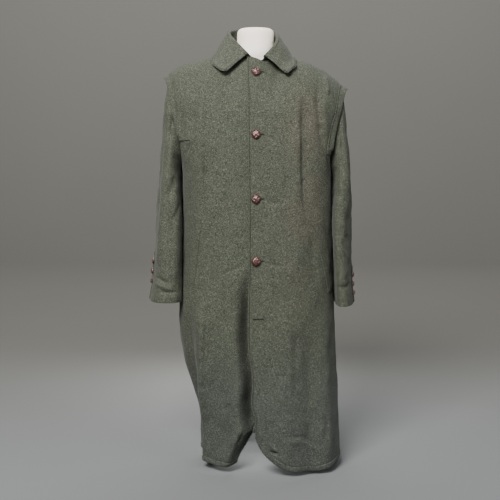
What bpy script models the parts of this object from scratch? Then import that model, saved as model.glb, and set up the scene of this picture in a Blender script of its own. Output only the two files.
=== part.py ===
"""Loden coat worn by a limbless dress form: metres, +Z up, the front towards -Y, origin on the floor.

Right and left are the wearer's: the right side is -X. The coat hangs a little askew, lower and wider on
the left. Panels, sleeves and collar are walls of even thickness over one surface, worked out from short
tables of sections, and each wall stands a seam's gap from its neighbour.
"""
import math

import bmesh
import bpy
import numpy as np
from mathutils import Vector
from mathutils.bvhtree import BVHTree

# Driving dimensions
WALL = 0.0026
SEAM_GAP = 0.0003
UNDERLAP_DROP = WALL + 4 * SEAM_GAP
CENTRE_SHIFT = Vector((0.0085, -0.008, 0.0))

PANEL_COLUMNS = {"front": 15, "back": 26}
LOWER_ROWS = 20
ARM_ROWS = 6
SHOULDER_ROWS = 6
HALF_SAMPLES = 120  # points in half of a full row before it is cut
PINCH_START = 0.45  # share of a row where its columns begin to close up at the armhole
SEAM_GIRTH = 0.31  # girth from the middle to a side seam
SLEEVE_AROUND = 20
SLEEVE_ROWS = 20
COLLAR_COLUMNS = 32
WELT_CELLS = (3, 10)

SIDE_DEPTH = 0.01  # Y of the side seams
ARM_LEVEL = 0.90  # rows get closer from here up
SHOULDER_LEVEL = 1.07  # rows turn over towards the shoulder seam from here up
BUTTON_LINE = 0.0012  # X of the row of buttons
BUTTON_HEIGHTS = (1.203, 1.0228, 0.8362, 0.6544, 0.4830)
BUTTON_RADIUS = 0.0142
BUTTON_RISE = 0.0105
UNDER_BUTTON_SEAT = 0.0019  # the fifth button sits on a curved fold
CUFF_BUTTON_RADIUS = 0.0085
CUFF_BUTTON_RISE = 0.006

# One row for each level of the body: half outlines, depths and squareness of the oval
SECTION_COLUMNS = ("height", "right", "left", "middle", "front", "back", "square")
SECTIONS = (
    (0.02, -0.160, 0.264, 0.050, -0.152, 0.168, 2.70),
    (0.08, -0.161, 0.263, 0.048, -0.155, 0.168, 2.65),
    (0.14, -0.164, 0.260, 0.044, -0.158, 0.166, 2.55),
    (0.20, -0.181, 0.257, 0.036, -0.160, 0.164, 2.45),
    (0.27, -0.201, 0.254, 0.026, -0.161, 0.160, 2.30),
    (0.34, -0.2206, 0.250, 0.016, -0.161, 0.157, 2.30),
    (0.42, -0.2325, 0.246, 0.010, -0.160, 0.153, 2.35),
    (0.50, -0.2345, 0.243, 0.006, -0.158, 0.149, 2.40),
    (0.62, -0.2270, 0.238, 0.004, -0.155, 0.143, 2.45),
    (0.76, -0.2200, 0.2335, 0.002, -0.151, 0.135, 2.75),
    (0.86, -0.2190, 0.2310, 0.000, -0.150, 0.131, 3.05),
    (0.93, -0.2220, 0.2310, 0.000, -0.149, 0.129, 3.35),
    (0.967, -0.2300, 0.2350, 0.000, -0.148, 0.128, 3.55),
    (1.006, -0.2370, 0.2405, 0.000, -0.147, 0.127, 3.70),
    (1.05, -0.2465, 0.2480, 0.000, -0.143, 0.125, 3.55),
    (1.085, -0.2545, 0.2580, 0.000, -0.139, 0.122, 3.30),
)

# Depth at which the front and the back stop at the armhole and the cap's edge, from the armpit up
ARM_COLUMNS = ("height", "front_depth", "back_depth")
ARM_EDGES = {
    "right": (
        (0.910, 0.010, 0.010),
        (0.926, -0.032, 0.040),
        (0.944, -0.064, 0.062),
        (0.966, -0.078, 0.074),
        (1.006, -0.088, 0.083),
        (1.040, -0.087, 0.082),
        (1.085, -0.078, 0.074),
    ),
    "left": (
        (0.880, 0.010, 0.010),
        (0.896, -0.032, 0.040),
        (0.914, -0.064, 0.062),
        (0.936, -0.078, 0.076),
        (0.972, -0.088, 0.084),
        (1.030, -0.084, 0.079),
        (1.085, -0.068, 0.064),
    ),
}

# The seam from the side of the neck to the cap's tip
SHOULDER_COLUMNS = ("across", "height")
SHOULDERS = {
    "right": (
        (-0.075, 1.2620),
        (-0.129, 1.2490),
        (-0.190, 1.2370),
        (-0.222, 1.2280),
        (-0.250, 1.2095),
        (-0.2731, 1.1850),
    ),
    "left": (
        (0.066, 1.2540),
        (0.1135, 1.2450),
        (0.1505, 1.2360),
        (0.2010, 1.2140),
        (0.2380, 1.1875),
        (0.2740, 1.1530),
    ),
}

# Neckline: its height at angles round the neck, from the right side through the middle to the left
NECKLINE_COLUMNS = ("angle", "height")
NECKLINE = {
    "front": ((-90, 1.262), (-50, 1.258), (-20, 1.2525), (0, 1.244), (18, 1.2365), (50, 1.2430), (90, 1.252)),
    "back": ((-90, 1.262), (-45, 1.270), (0, 1.274), (45, 1.266), (90, 1.252)),
}
NECK_DEPTHS = {"front": -0.084, "back": 0.072}

# Front edges: the left one lies on top and sweeps into a rounded hem corner
EDGE_COLUMNS = ("height", "left_edge", "right_edge", "recess")
EDGES = (
    (0.02, -0.0010, -0.058, 0.022),
    (0.07, -0.0010, -0.036, 0.024),
    (0.10, -0.0012, -0.020, 0.026),
    (0.131, -0.0023, -0.002, 0.028),
    (0.17, -0.0100, 0.014, 0.030),
    (0.21, -0.0135, 0.020, 0.029),
    (0.27, -0.0100, 0.024, 0.027),
    (0.33, -0.0130, 0.026, 0.025),
    (0.39, -0.0215, 0.026, 0.025),
    (0.48, -0.0231, 0.026, 0.0225),
    (0.60, -0.0207, 0.026, 0.003),
    (0.85, -0.0207, 0.026, 0.0),
    (1.05, -0.0231, 0.026, 0.0),
    (1.25, -0.0253, 0.026, 0.0),
)
RECESS_REACH = 0.07
HEM_HEIGHT = 0.020
HEM_TILT = ((-0.17, 0.010), (-0.12, 0.001), (-0.06, 0.000), (0.10, -0.003), (0.19, -0.008), (0.25, 0.004), (0.27, 0.014))
BACK_HEM_RISE = 0.026
BACK_HEM_REACH = 0.12  # distance from a side seam over which the back hem rises
CORNERS = {"left": (0.111, 0.12, 1.7), "right": (0.010, 0.03, 1.7)}  # rise, reach and roundness of a hem corner
CORNER_FADE = 0.35

# Soft folds, a row each: girth is measured along the panel from X = 0, negative to the right
FOLD_COLUMNS = ("girth_top", "top", "girth_low", "low", "rise", "width")
FOLDS = {
    "front": (
        (-0.172, 1.16, -0.168, 0.62, 0.0045, 0.020),
        (-0.168, 0.56, -0.182, -0.30, 0.0130, 0.020),
        (-0.222, 0.50, -0.228, 0.02, -0.0130, 0.024),
        (-0.235, 1.16, -0.205, 0.95, -0.0040, 0.014),
        (-0.110, 0.80, -0.105, -0.30, -0.0055, 0.026),
        (0.146, 1.17, 0.150, 0.76, -0.0050, 0.013),
        (0.118, 1.17, 0.122, 0.55, 0.0035, 0.020),
        (0.165, 0.80, 0.185, 0.56, -0.0035, 0.016),
        (0.200, 1.14, 0.205, 1.00, 0.0040, 0.016),
        (0.090, 0.55, 0.095, -0.30, 0.0060, 0.034),
        (0.165, 0.48, 0.172, -0.30, -0.0065, 0.026),
        (0.222, 0.52, 0.236, -0.30, 0.0070, 0.024),
    ),
    "back": (
        (-0.200, 0.92, -0.212, -0.30, 0.0130, 0.024),
        (-0.142, 1.02, -0.150, -0.30, -0.0140, 0.026),
        (-0.080, 0.95, -0.088, -0.30, 0.0120, 0.028),
        (-0.020, 1.04, -0.016, -0.30, -0.0130, 0.028),
        (0.045, 0.98, 0.052, -0.30, 0.0130, 0.028),
        (0.105, 1.05, 0.116, -0.30, -0.0140, 0.026),
        (0.165, 0.96, 0.182, -0.30, 0.0120, 0.026),
        (0.215, 0.80, 0.238, -0.30, -0.0100, 0.022),
    ),
}
FOLD_FADE = 0.10

# Sleeves: the oval ring through the outer and the inner point of each row
SLEEVE_COLUMNS = ("outer", "outer_height", "inner", "inner_height", "front", "back")
SLEEVES = {
    "right": (
        (-0.2450, 1.2090, -0.1980, 0.985, -0.052, 0.050),
        (-0.2580, 1.1780, -0.2050, 0.966, -0.068, 0.064),
        (-0.2700, 1.1300, -0.2150, 0.945, -0.079, 0.074),
        (-0.2790, 1.0500, -0.2255, 0.925, -0.083, 0.078),
        (-0.2860, 0.9600, -0.2272, 0.878, -0.090, 0.074),
        (-0.2950, 0.8600, -0.2245, 0.820, -0.100, 0.066),
        (-0.3005, 0.7600, -0.2245, 0.745, -0.106, 0.056),
        (-0.3045, 0.6550, -0.2260, 0.650, -0.110, 0.040),
        (-0.3105, 0.5850, -0.2270, 0.583, -0.112, 0.026),
        (-0.3195, 0.5230, -0.2280, 0.5225, -0.114, 0.012),
    ),
    "left": (
        (0.2470, 1.1750, 0.1980, 0.955, -0.050, 0.048),
        (0.2590, 1.1460, 0.2060, 0.936, -0.066, 0.062),
        (0.2680, 1.0980, 0.2200, 0.916, -0.077, 0.073),
        (0.2770, 1.0150, 0.2347, 0.893, -0.081, 0.077),
        (0.2860, 0.9300, 0.2372, 0.852, -0.087, 0.076),
        (0.2905, 0.8450, 0.2335, 0.800, -0.095, 0.071),
        (0.2915, 0.7500, 0.2355, 0.735, -0.099, 0.064),
        (0.2910, 0.6500, 0.2415, 0.645, -0.102, 0.052),
        (0.2935, 0.5750, 0.2450, 0.573, -0.104, 0.042),
        (0.2985, 0.5110, 0.2500, 0.5105, -0.105, 0.034),
    ),
}
SLEEVE_LEAN = 0.17  # how far an oval leans in towards the front
SLEEVE_CLEARANCE = 0.0008
SLEEVE_SQUARE = 2.4
# Sleeve folds: angle 0 is the outer side and 90 the front; share 0 is the head and 1 the cuff
SLEEVE_FOLD_COLUMNS = ("angle_top", "share_top", "angle_low", "share_low", "rise", "width")
SLEEVE_FOLDS = {
    "right": (
        (105, 0.25, 40, 0.84, 0.0050, 16),
        (60, 0.20, 20, 0.70, -0.0035, 16),
        (100, 0.84, 130, 0.97, -0.0035, 15),
        (230, 0.30, 300, 0.80, 0.0045, 18),
        (275, 0.25, 255, 0.75, -0.0040, 18),
    ),
    "left": (
        (75, 0.28, 50, 0.66, 0.0040, 16),
        (40, 0.55, 80, 0.80, -0.0035, 15),
        (60, 0.78, 110, 0.92, 0.0030, 15),
        (235, 0.30, 300, 0.78, 0.0045, 18),
        (275, 0.22, 250, 0.72, -0.0040, 18),
    ),
}

# Collar, from the right front end round the back to the left front end
COLLAR_POINT_COLUMNS = ("across", "depth", "height")
COLLAR_BASE = (
    (-0.0190, -0.0842, 1.2508),
    (-0.0460, -0.0680, 1.2566),
    (-0.0730, -0.0060, 1.2624),
    (-0.0580, 0.0450, 1.2708),
    (-0.0050, 0.0690, 1.2748),
    (0.0510, 0.0450, 1.2650),
    (0.0640, -0.0060, 1.2526),
    (0.0450, -0.0620, 1.2440),
    (0.0230, -0.0842, 1.2380),
)
COLLAR_ROLL = (
    (-0.0240, -0.0920, 1.2520),
    (-0.0540, -0.0700, 1.2830),
    (-0.0795, -0.0050, 1.3190),
    (-0.0635, 0.0540, 1.3310),
    (-0.0060, 0.0790, 1.3350),
    (0.0515, 0.0540, 1.3260),
    (0.0650, -0.0050, 1.3120),
    (0.0560, -0.0620, 1.2780),
    (0.0270, -0.0910, 1.2460),
)
COLLAR_OUTER = (
    (-0.0950, -0.1100, 1.1900),
    (-0.1255, -0.0720, 1.2190),
    (-0.1275, -0.0250, 1.2450),
    (-0.0980, 0.0700, 1.2560),
    (-0.0060, 0.1110, 1.2520),
    (0.0860, 0.0700, 1.2500),
    (0.1165, -0.0220, 1.2360),
    (0.1130, -0.0720, 1.2060),
    (0.0960, -0.1100, 1.1870),
)
COLLAR_ROLL_RADIUS = 0.0034
COLLAR_LIFT = 0.0009
COLLAR_RISE_CELLS = 2
COLLAR_FALL_CELLS = 5

# Slanted pocket welts: front corner of the top end, front corner of the low end, and the width, along the girth
WELT_COLUMNS = ("top_girth", "top_height", "low_girth", "low_height", "width")
WELTS = {
    "right": (-0.1580, 0.778, -0.1950, 0.563, -0.034),
    "left": (0.1720, 0.760, 0.2420, 0.548, 0.036),
}
WELT_TILT = 0.014
WELT_LIFT = 0.0016

# Dress form, closed all round: a row for each ring
FORM_COLUMNS = ("height", "right", "left", "front", "back", "square")
FORM_RINGS = (
    (0.640, -0.150, 0.150, -0.095, 0.105, 2.2),
    (0.646, -0.160, 0.160, -0.104, 0.114, 2.2),
    (0.700, -0.166, 0.168, -0.112, 0.114, 2.2),
    (0.780, -0.150, 0.152, -0.104, 0.104, 2.2),
    (0.860, -0.142, 0.143, -0.102, 0.096, 2.2),
    (0.950, -0.158, 0.156, -0.116, 0.102, 2.25),
    (1.040, -0.172, 0.168, -0.120, 0.102, 2.3),
    (1.120, -0.180, 0.174, -0.104, 0.092, 2.2),
    (1.172, -0.180, 0.168, -0.084, 0.077, 2.1),
    (1.203, -0.175, 0.158, -0.066, 0.062, 2.0),
    (1.2200, -0.164, 0.142, -0.056, 0.053, 2.0),
    (1.2302, -0.146, 0.116, -0.050, 0.048, 2.0),
    (1.2382, -0.116, 0.080, -0.048, 0.047, 2.0),
    (1.2460, -0.072, 0.059, -0.050, 0.048, 2.0),
    (1.2640, -0.0575, 0.0570, -0.0530, 0.0495, 2.0),
    (1.3000, -0.0560, 0.0562, -0.0535, 0.0485, 2.0),
    (1.3220, -0.0555, 0.0557, -0.0530, 0.0480, 2.0),
    (1.3310, -0.0515, 0.0517, -0.0495, 0.0445, 2.0),
    (1.3355, -0.0430, 0.0432, -0.0415, 0.0365, 2.0),
    (1.3370, -0.0250, 0.0252, -0.0240, 0.0190, 2.0),
)
FORM_AROUND = 28

POLE_RADIUS = 0.0125
STAND_DEPTH = 0.024  # Y of the pole
BASE_DEPTH = 0.096
# Base: a plate folded over two legs, a row for each fold of its left half, from the floor up
BASE_COLUMNS = ("outer", "outer_height", "inner", "inner_height")
BASE_FOLDS = (
    (0.120, 0.000, 0.096, 0.000),
    (0.118, 0.012, 0.099, 0.012),
    (0.047, 0.206, 0.033, 0.200),
    (0.037, 0.222, 0.026, 0.211),
    (0.022, 0.228, 0.014, 0.216),
)

COLOURS = {
    "loden": ((0.105, 0.115, 0.085, 1.0), 0.95),
    "button": ((0.16, 0.045, 0.03, 1.0), 0.35),
    "form": ((0.80, 0.76, 0.70, 1.0), 0.45),
    "stand": ((0.60, 0.58, 0.54, 1.0), 0.40),
}


def follow(places, values, at):
    """A smooth curve through values at places, read at any place."""
    places = np.asarray(places, float)
    values = np.asarray(values, float)
    at = np.clip(np.asarray(at, float), places[0], places[-1])
    slopes = np.gradient(values, places)
    cell = np.clip(np.searchsorted(places, at) - 1, 0, len(places) - 2)
    step = places[cell + 1] - places[cell]
    t = (at - places[cell]) / step
    start = (2 * t**3 - 3 * t**2 + 1) * values[cell] + (t**3 - 2 * t**2 + t) * step * slopes[cell]
    end = (3 * t**2 - 2 * t**3) * values[cell + 1] + (t**3 - t**2) * step * slopes[cell + 1]
    return start + end


def column(table, names, name):
    return np.array([row[names.index(name)] for row in table])


def section(name, height):
    return follow(column(SECTIONS, SECTION_COLUMNS, "height"), column(SECTIONS, SECTION_COLUMNS, name), height)


def edge(name, height):
    return follow(column(EDGES, EDGE_COLUMNS, "height"), column(EDGES, EDGE_COLUMNS, name), height)


def smooth_step(value):
    t = np.clip(value, 0.0, 1.0)
    return t * t * (3 - 2 * t)


def lengths(points):
    """Distance along a line of points, from its first."""
    steps = np.linalg.norm(np.diff(points, axis=0), axis=1)
    return np.concatenate(([0.0], np.cumsum(steps)))


def spaced(points, count):
    """count + 1 points, evenly apart along a line."""
    run = lengths(points)
    at = np.linspace(0.0, run[-1], count + 1)
    return np.stack([np.interp(at, run, points[:, axis]) for axis in range(points.shape[1])], axis=1)


def end_depth(side, face, height):
    """Depth where a row stops: at the side seam, or at the armhole and the cap's edge above it."""
    rows = ARM_EDGES[side]
    heights = column(rows, ARM_COLUMNS, "height")
    return float(follow(heights, column(rows, ARM_COLUMNS, face + "_depth"), height))


def face_line(face, height):
    """The front or back of the body at one level, from the right end to the left."""
    middle = float(section("middle", height))
    depth = float(section(face, height)) - SIDE_DEPTH
    square = float(section("square", height))
    halves = []
    for side in ("right", "left"):
        share = (end_depth(side, face, height) - SIDE_DEPTH) / depth
        turn = math.acos(max(share, 0.0) ** (square / 2))
        angles = np.linspace(0.0, turn, 160)
        x = middle + (float(section(side, height)) - middle) * np.sin(angles) ** (2 / square)
        y = SIDE_DEPTH + depth * np.cos(angles) ** (2 / square)
        halves.append(spaced(np.column_stack([x, y, np.full(160, height)]), HALF_SAMPLES))
    return np.concatenate([halves[0][::-1], halves[1][1:]])


def top_line(face):
    """The shoulder seams and the neckline between them, from the right cap's tip to the left one's."""
    halves = []
    for side in ("right", "left"):
        rows = SHOULDERS[side]
        flip = -1 if side == "right" else 1
        across = np.linspace(rows[0][0], rows[-1][0], 60)
        heights = follow(
            flip * column(rows, SHOULDER_COLUMNS, "across"),
            column(rows, SHOULDER_COLUMNS, "height"),
            flip * across,
        )
        seam = np.column_stack([across, np.zeros(60), heights])
        angles = np.linspace(0.0, 90.0, 50)
        table = NECKLINE[face]
        neck_heights = follow(
            column(table, NECKLINE_COLUMNS, "angle"), column(table, NECKLINE_COLUMNS, "height"), flip * angles
        )
        turn = np.radians(angles)
        neck = np.column_stack([rows[0][0] * np.sin(turn), NECK_DEPTHS[face] * np.cos(turn), neck_heights])
        halves.append(spaced(np.concatenate([neck, seam[1:]]), HALF_SAMPLES))
    return np.concatenate([halves[0][::-1], halves[1][1:]])


def face_rows(face):
    """Every full row of the front or the back; the last ones turn over towards the shoulder seams."""
    low = np.linspace(HEM_HEIGHT, ARM_LEVEL, LOWER_ROWS, endpoint=False)
    high = np.linspace(ARM_LEVEL, SHOULDER_LEVEL, ARM_ROWS)
    rows = [face_line(face, height) for height in np.concatenate([low, high])]
    level, top = rows[-1], top_line(face)
    from_middle = np.abs(np.linspace(-1.0, 1.0, 2 * HALF_SAMPLES + 1))
    neck_share = 1 - smooth_step((from_middle - 0.16) / 0.34)
    for step in range(1, SHOULDER_ROWS + 1):
        t = step / SHOULDER_ROWS
        sine = math.sin(t * math.pi / 2)
        cosine = math.cos(t * math.pi / 2)
        across = level[:, 0] + (top[:, 0] - level[:, 0]) * t
        round_depth = top[:, 1] + (level[:, 1] - top[:, 1]) * cosine
        round_height = level[:, 2] + (top[:, 2] - level[:, 2]) * sine
        flat_depth = level[:, 1] + (top[:, 1] - level[:, 1]) * t**1.7
        flat_height = level[:, 2] + (top[:, 2] - level[:, 2]) * t
        depth = round_depth + (flat_depth - round_depth) * neck_share
        height = round_height + (flat_height - round_height) * neck_share
        rows.append(np.column_stack([across, depth, height]))
    return rows


def column_shares(count, pinch, side):
    """Places of a row's columns, 0 to 1; near a pinched end they close up, so the others stay in line."""
    even = np.linspace(0.0, 1.0, count + 1)
    if side == "right":
        return 1 - column_shares(count, pinch, "left")[::-1]
    if not side:
        half = column_shares(count // 2, pinch, "left")
        return np.concatenate([(1 - half[::-1]) / 2, 0.5 + half[1:] / 2])
    return (even - (1 - pinch) * smooth_step((even - PINCH_START) / (1 - PINCH_START))) / pinch


def cut_row(row, low, high, shares):
    """Points of a row between two X values, each with its girth from X = 0; None keeps an end."""
    run = lengths(row)
    start = 0.0 if low is None else np.interp(low, row[:, 0], run)
    end = run[-1] if high is None else np.interp(high, row[:, 0], run)
    at = start + (end - start) * shares
    points = np.stack([np.interp(at, run, row[:, axis]) for axis in range(3)], axis=1)
    return points, at - np.interp(0.0, row[:, 0], run)


def normals_of(grid, closed=False):
    """Outward unit normals of a grid of points, rows upwards and columns from right to left."""
    along = np.gradient(grid, axis=1)
    if closed:
        wide = np.concatenate([grid[:, -2:-1], grid, grid[:, 1:2]], axis=1)
        along = (wide[:, 2:] - wide[:, :-2]) / 2
    up = np.gradient(grid, axis=0)
    normal = np.cross(along, up)
    return normal / np.linalg.norm(normal, axis=2, keepdims=True)


def fold_rise(rows, names, first, second):
    """Height of all folds of a table at a place given by its two coordinates; folds run down the second one."""
    total = np.zeros_like(first)
    place = dict(zip(names, range(len(names))))
    for row in rows:
        start, end = row[place[names[1]]], row[place[names[3]]]
        share = np.clip((second - start) / (end - start), 0.0, 1.0)
        centre = row[0] + (row[2] - row[0]) * share
        span = abs(end - start)
        fade = min(FOLD_FADE, 0.45 * span) if span < 3 else FOLD_FADE
        inside = smooth_step((second - start) / math.copysign(fade, end - start))
        inside = inside * smooth_step((end - second) / math.copysign(fade, end - start))
        total += row[4] * inside * np.exp(-(((first - centre) / row[5]) ** 2))
    return total


def hem_lift(across, face, from_edge, side):
    """How far the hem rises above its lowest level, more at the rounded front corners."""
    lift = np.interp(across, [p[0] for p in HEM_TILT], [p[1] for p in HEM_TILT])
    if face == "back":
        from_seam = np.minimum(across - across.min(), across.max() - across)
        return lift + BACK_HEM_RISE * smooth_step(from_seam / BACK_HEM_REACH)
    rise, reach, roundness = CORNERS[side]
    share = 1 - np.clip(from_edge / reach, 0.0, 1.0)
    return lift + rise * (1 - (1 - share**roundness) ** (1 / roundness))


def panel_grid(name):
    """Outer points and outward normals of a panel: front_left, front_right or back."""
    face, _, side = name.partition("_")
    points = []
    girths = []
    rows = face_rows(face)
    for index, row in enumerate(rows):
        height = row[HALF_SAMPLES, 2]
        low = float(edge("left_edge", height)) if side == "left" else None
        high = float(edge("right_edge", height)) if side == "right" else None
        turned = max(0, index - (len(rows) - 1 - SHOULDER_ROWS)) / SHOULDER_ROWS
        depth = end_depth(side or "left", face, height)
        pinch = 1 - abs(depth - SIDE_DEPTH) * (1 - turned) / SEAM_GIRTH
        line, girth = cut_row(row, low, high, column_shares(PANEL_COLUMNS[face], pinch, side))
        points.append(line)
        girths.append(girth)
    grid = np.array(points)
    rise = fold_rise(FOLDS[face], FOLD_COLUMNS, np.array(girths), grid[:, :, 2])
    ends = {"left": (-1,), "right": (0,), "": (0, -1)}[side]
    rise[:, ends] = 0.0
    grid += facing(grid, face) * rise[:, :, None]
    if side == "right":
        under = smooth_step((grid[:, :, 0] + 0.055) / 0.030)
        near = smooth_step((grid[:, :, 0] - edge("right_edge", grid[:, :, 2]) + RECESS_REACH) / RECESS_REACH)
        recess = np.maximum(edge("recess", grid[:, :, 2]), 0.0)
        grid -= facing(grid, face) * (UNDERLAP_DROP * under)[:, :, None]
        grid[:, :, 1] += recess * near
    lower = np.clip(1 - (grid[:, :, 2] - HEM_HEIGHT) / CORNER_FADE, 0.0, 1.0) ** 2
    own_edge = grid[0, -1 if side == "right" else 0, 0]
    grid[:, :, 2] += lower * hem_lift(grid[0, :, 0], face, np.abs(grid[0, :, 0] - own_edge), side)
    normal = facing(grid, face)
    tidy_seams(grid, normal, face, ends)
    return grid, normal


def facing(grid, face):
    return normals_of(grid) if face == "front" else -normals_of(grid)


def tidy_seams(grid, normal, face, ends):
    """Normals square to the seams, and half a gap between the panels that meet there."""
    away = -1 if face == "front" else 1
    seam_row = ARM_LEVEL - 0.001
    for end in ends:
        side_rows = grid[:, end, 2] < seam_row
        normal[side_rows, end, 1] = 0.0
        grid[:, end, 1] += away * SEAM_GAP
    normal[-1, :, 1] *= (np.abs(grid[-1, :, 1]) > 0.004)
    grid[-1, :, 1] += away * SEAM_GAP * (np.abs(grid[-1, :, 1]) < 0.004)
    normal /= np.linalg.norm(normal, axis=2, keepdims=True)


def sleeve_grid(side, body):
    """Rings of a sleeve from its head down to the cuff, clear of the body; the last column closes the ring."""
    rows = SLEEVES[side]
    place = np.linspace(0, 1, len(rows))
    at = np.linspace(0, 1, SLEEVE_ROWS + 1)
    get = {name: follow(place, column(rows, SLEEVE_COLUMNS, name), at) for name in SLEEVE_COLUMNS}
    dense = np.linspace(0, 2 * math.pi, 241)
    power = 2 / SLEEVE_SQUARE
    cosine = np.sign(np.cos(dense)) * np.abs(np.cos(dense)) ** power
    sine = np.sign(np.sin(dense)) * np.abs(np.sin(dense)) ** power
    grid = []
    for row in range(SLEEVE_ROWS + 1):
        outer = np.array([get["outer"][row], get["outer_height"][row]])
        inner = np.array([get["inner"][row], get["inner_height"][row]])
        half = (outer - inner) / 2
        middle_depth = (get["front"][row] + get["back"][row]) / 2
        half_depth = (get["back"][row] - get["front"][row]) / 2
        centre = (outer + inner) / 2
        lean = SLEEVE_LEAN * float(smooth_step((at[row] - 0.30) / 0.40)) * math.copysign(1, half[0])
        ring = np.column_stack([
            centre[0] + half[0] * cosine - lean * half_depth * sine,
            middle_depth - half_depth * sine,
            centre[1] + half[1] * cosine,
        ])
        grid.append(spaced(ring, SLEEVE_AROUND))
    grid = np.array(grid)
    normal = sleeve_normals(grid, side)
    angle = np.broadcast_to(np.linspace(0, 360, SLEEVE_AROUND + 1), grid.shape[:2])
    share = np.broadcast_to(at[:, None], grid.shape[:2])
    rise = fold_rise(SLEEVE_FOLDS[side], SLEEVE_FOLD_COLUMNS, angle, share)
    grid = grid + normal * rise[:, :, None]
    for ring in grid:
        centre = Vector(ring[:-1].mean(axis=0))
        for index, point in enumerate(ring):
            away = Vector(point) - centre
            place, _, _, room = body.ray_cast(centre, away.normalized())
            if place is not None and away.length > room - SLEEVE_CLEARANCE:
                ring[index] = centre + away.normalized() * (room - SLEEVE_CLEARANCE)
    grid[:, -1] = grid[:, 0]
    return grid, sleeve_normals(grid, side)


def sleeve_normals(grid, side):
    normal = normals_of(grid, closed=True)
    normal[:, -1] = normal[:, 0]
    return normal if side == "left" else -normal


def collar_line(points, count):
    """A smooth line through the collar's points, evenly spaced."""
    points = np.array(points)
    run = lengths(points)
    dense = np.linspace(0, run[-1], 300)
    line = np.stack([follow(run, points[:, axis], dense) for axis in range(3)], axis=1)
    return spaced(line, count)


def collar_grid(lie_on):
    """Outer points of the collar: up the stand, over the roll and down the fall, for each column."""
    base = collar_line(COLLAR_BASE, COLLAR_COLUMNS)
    roll = collar_line(COLLAR_ROLL, COLLAR_COLUMNS)
    outer = collar_line(COLLAR_OUTER, COLLAR_COLUMNS)
    columns = []
    for low, top, rim in zip(base, roll, outer):
        away = rim - top
        away[2] = 0.0
        away /= np.linalg.norm(away)
        points = [low + (top - low) * step / COLLAR_RISE_CELLS for step in range(COLLAR_RISE_CELLS)]
        inner_top = top - away * COLLAR_ROLL_RADIUS
        outer_top = top + away * COLLAR_ROLL_RADIUS
        points.append(inner_top)
        points.append(top + np.array([0.0, 0.0, COLLAR_ROLL_RADIUS * 0.8]))
        points.append(outer_top)
        for step in range(1, COLLAR_FALL_CELLS + 1):
            share = step / COLLAR_FALL_CELLS
            point = outer_top + (rim - outer_top) * share
            point = point + away * 0.004 * math.sin(math.pi * share)
            points.append(lie_on(point, WALL + COLLAR_LIFT))
        columns.append(points)
    grid = np.array(columns).transpose(1, 0, 2)
    return grid, -normals_of(grid)


def surface_tree(grids):
    """A search tree of panel surfaces."""
    vertices = []
    faces = []
    for grid in grids:
        start = len(vertices)
        high, wide = grid.shape[:2]
        vertices += [Vector(point) for point in grid.reshape(-1, 3)]
        for row in range(high - 1):
            for col in range(wide - 1):
                first = start + row * wide + col
                faces.append((first, first + 1, first + wide + 1, first + wide))
    return BVHTree.FromPolygons(vertices, faces)


def make_material(name):
    colour, roughness = COLOURS[name]
    material = bpy.data.materials.new(name)
    material.use_nodes = True
    shader = material.node_tree.nodes["Principled BSDF"]
    shader.inputs["Base Color"].default_value = colour
    shader.inputs["Roughness"].default_value = roughness
    shader.inputs["Metallic"].default_value = 0.0
    material.diffuse_color = colour
    return material


def add_object(name, vertices, faces, finish, smooth=True):
    """A mesh object with its faces turned outwards and its own material."""
    mesh = bpy.data.meshes.new(name)
    mesh.from_pydata([Vector(v) + CENTRE_SHIFT for v in vertices], [], faces)
    shape = bmesh.new()
    shape.from_mesh(mesh)
    bmesh.ops.recalc_face_normals(shape, faces=shape.faces)
    bmesh.ops.triangulate(shape, faces=shape.faces)
    shape.to_mesh(mesh)
    shape.free()
    if smooth:
        mesh.shade_smooth()
        mesh.set_sharp_from_angle(angle=math.radians(40))
    thing = bpy.data.objects.new(name, mesh)
    bpy.context.scene.collection.objects.link(thing)
    material = make_material(finish)
    material.name = name + "_" + finish
    mesh.materials.append(material)
    return thing


def wall_faces(high, wide, ring):
    """Faces of a wall over a grid: outer side, inner side and the rims between them."""
    count = high * wide
    faces = []
    for row in range(high - 1):
        for col in range(wide if ring else wide - 1):
            first, second = row * wide + col, row * wide + (col + 1) % wide
            faces.append((first, second, second + wide, first + wide))
            faces.append((first + count, first + wide + count, second + wide + count, second + count))
    for col in range(wide if ring else wide - 1):
        nxt = (col + 1) % wide
        top = (high - 1) * wide
        faces.append((col, col + count, nxt + count, nxt))
        faces.append((top + col, top + nxt, top + nxt + count, top + col + count))
    if not ring:
        for row in range(high - 1):
            first, last = row * wide, row * wide + wide - 1
            faces.append((first, first + wide, first + wide + count, first + count))
            faces.append((last, last + count, last + wide + count, last + wide))
    return faces


def add_wall(name, grid, normal, ring=False, thickness=WALL):
    if ring:
        grid, normal = grid[:, :-1], normal[:, :-1]
    high, wide = grid.shape[:2]
    outer = grid.reshape(-1, 3)
    inner = (grid - normal * thickness).reshape(-1, 3)
    return add_object(name, np.concatenate([outer, inner]), wall_faces(high, wide, ring), "loden")


def add_turned(name, profile, centre, direction, finish, around=16):
    """A turned solid from (radius, height) pairs, its base at centre and its axis along direction."""
    aim = Vector((0, 0, 1)).rotation_difference(Vector(direction)).to_matrix()
    vertices = [Vector(centre)]
    for radius, height in profile:
        for step in range(around):
            angle = 2 * math.pi * step / around
            vertices.append(Vector(centre) + aim @ Vector((radius * math.cos(angle), radius * math.sin(angle), height)))
    vertices.append(Vector(centre) + aim @ Vector((0, 0, profile[-1][1])))
    faces = []
    for step in range(around):
        nxt = (step + 1) % around
        faces.append((0, 1 + nxt, 1 + step))
        for ring in range(len(profile) - 1):
            low = 1 + ring * around
            faces.append((low + step, low + nxt, low + around + nxt, low + around + step))
        last = 1 + (len(profile) - 1) * around
        faces.append((len(vertices) - 1, last + step, last + nxt))
    return add_object(name, vertices, faces, finish)


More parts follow.
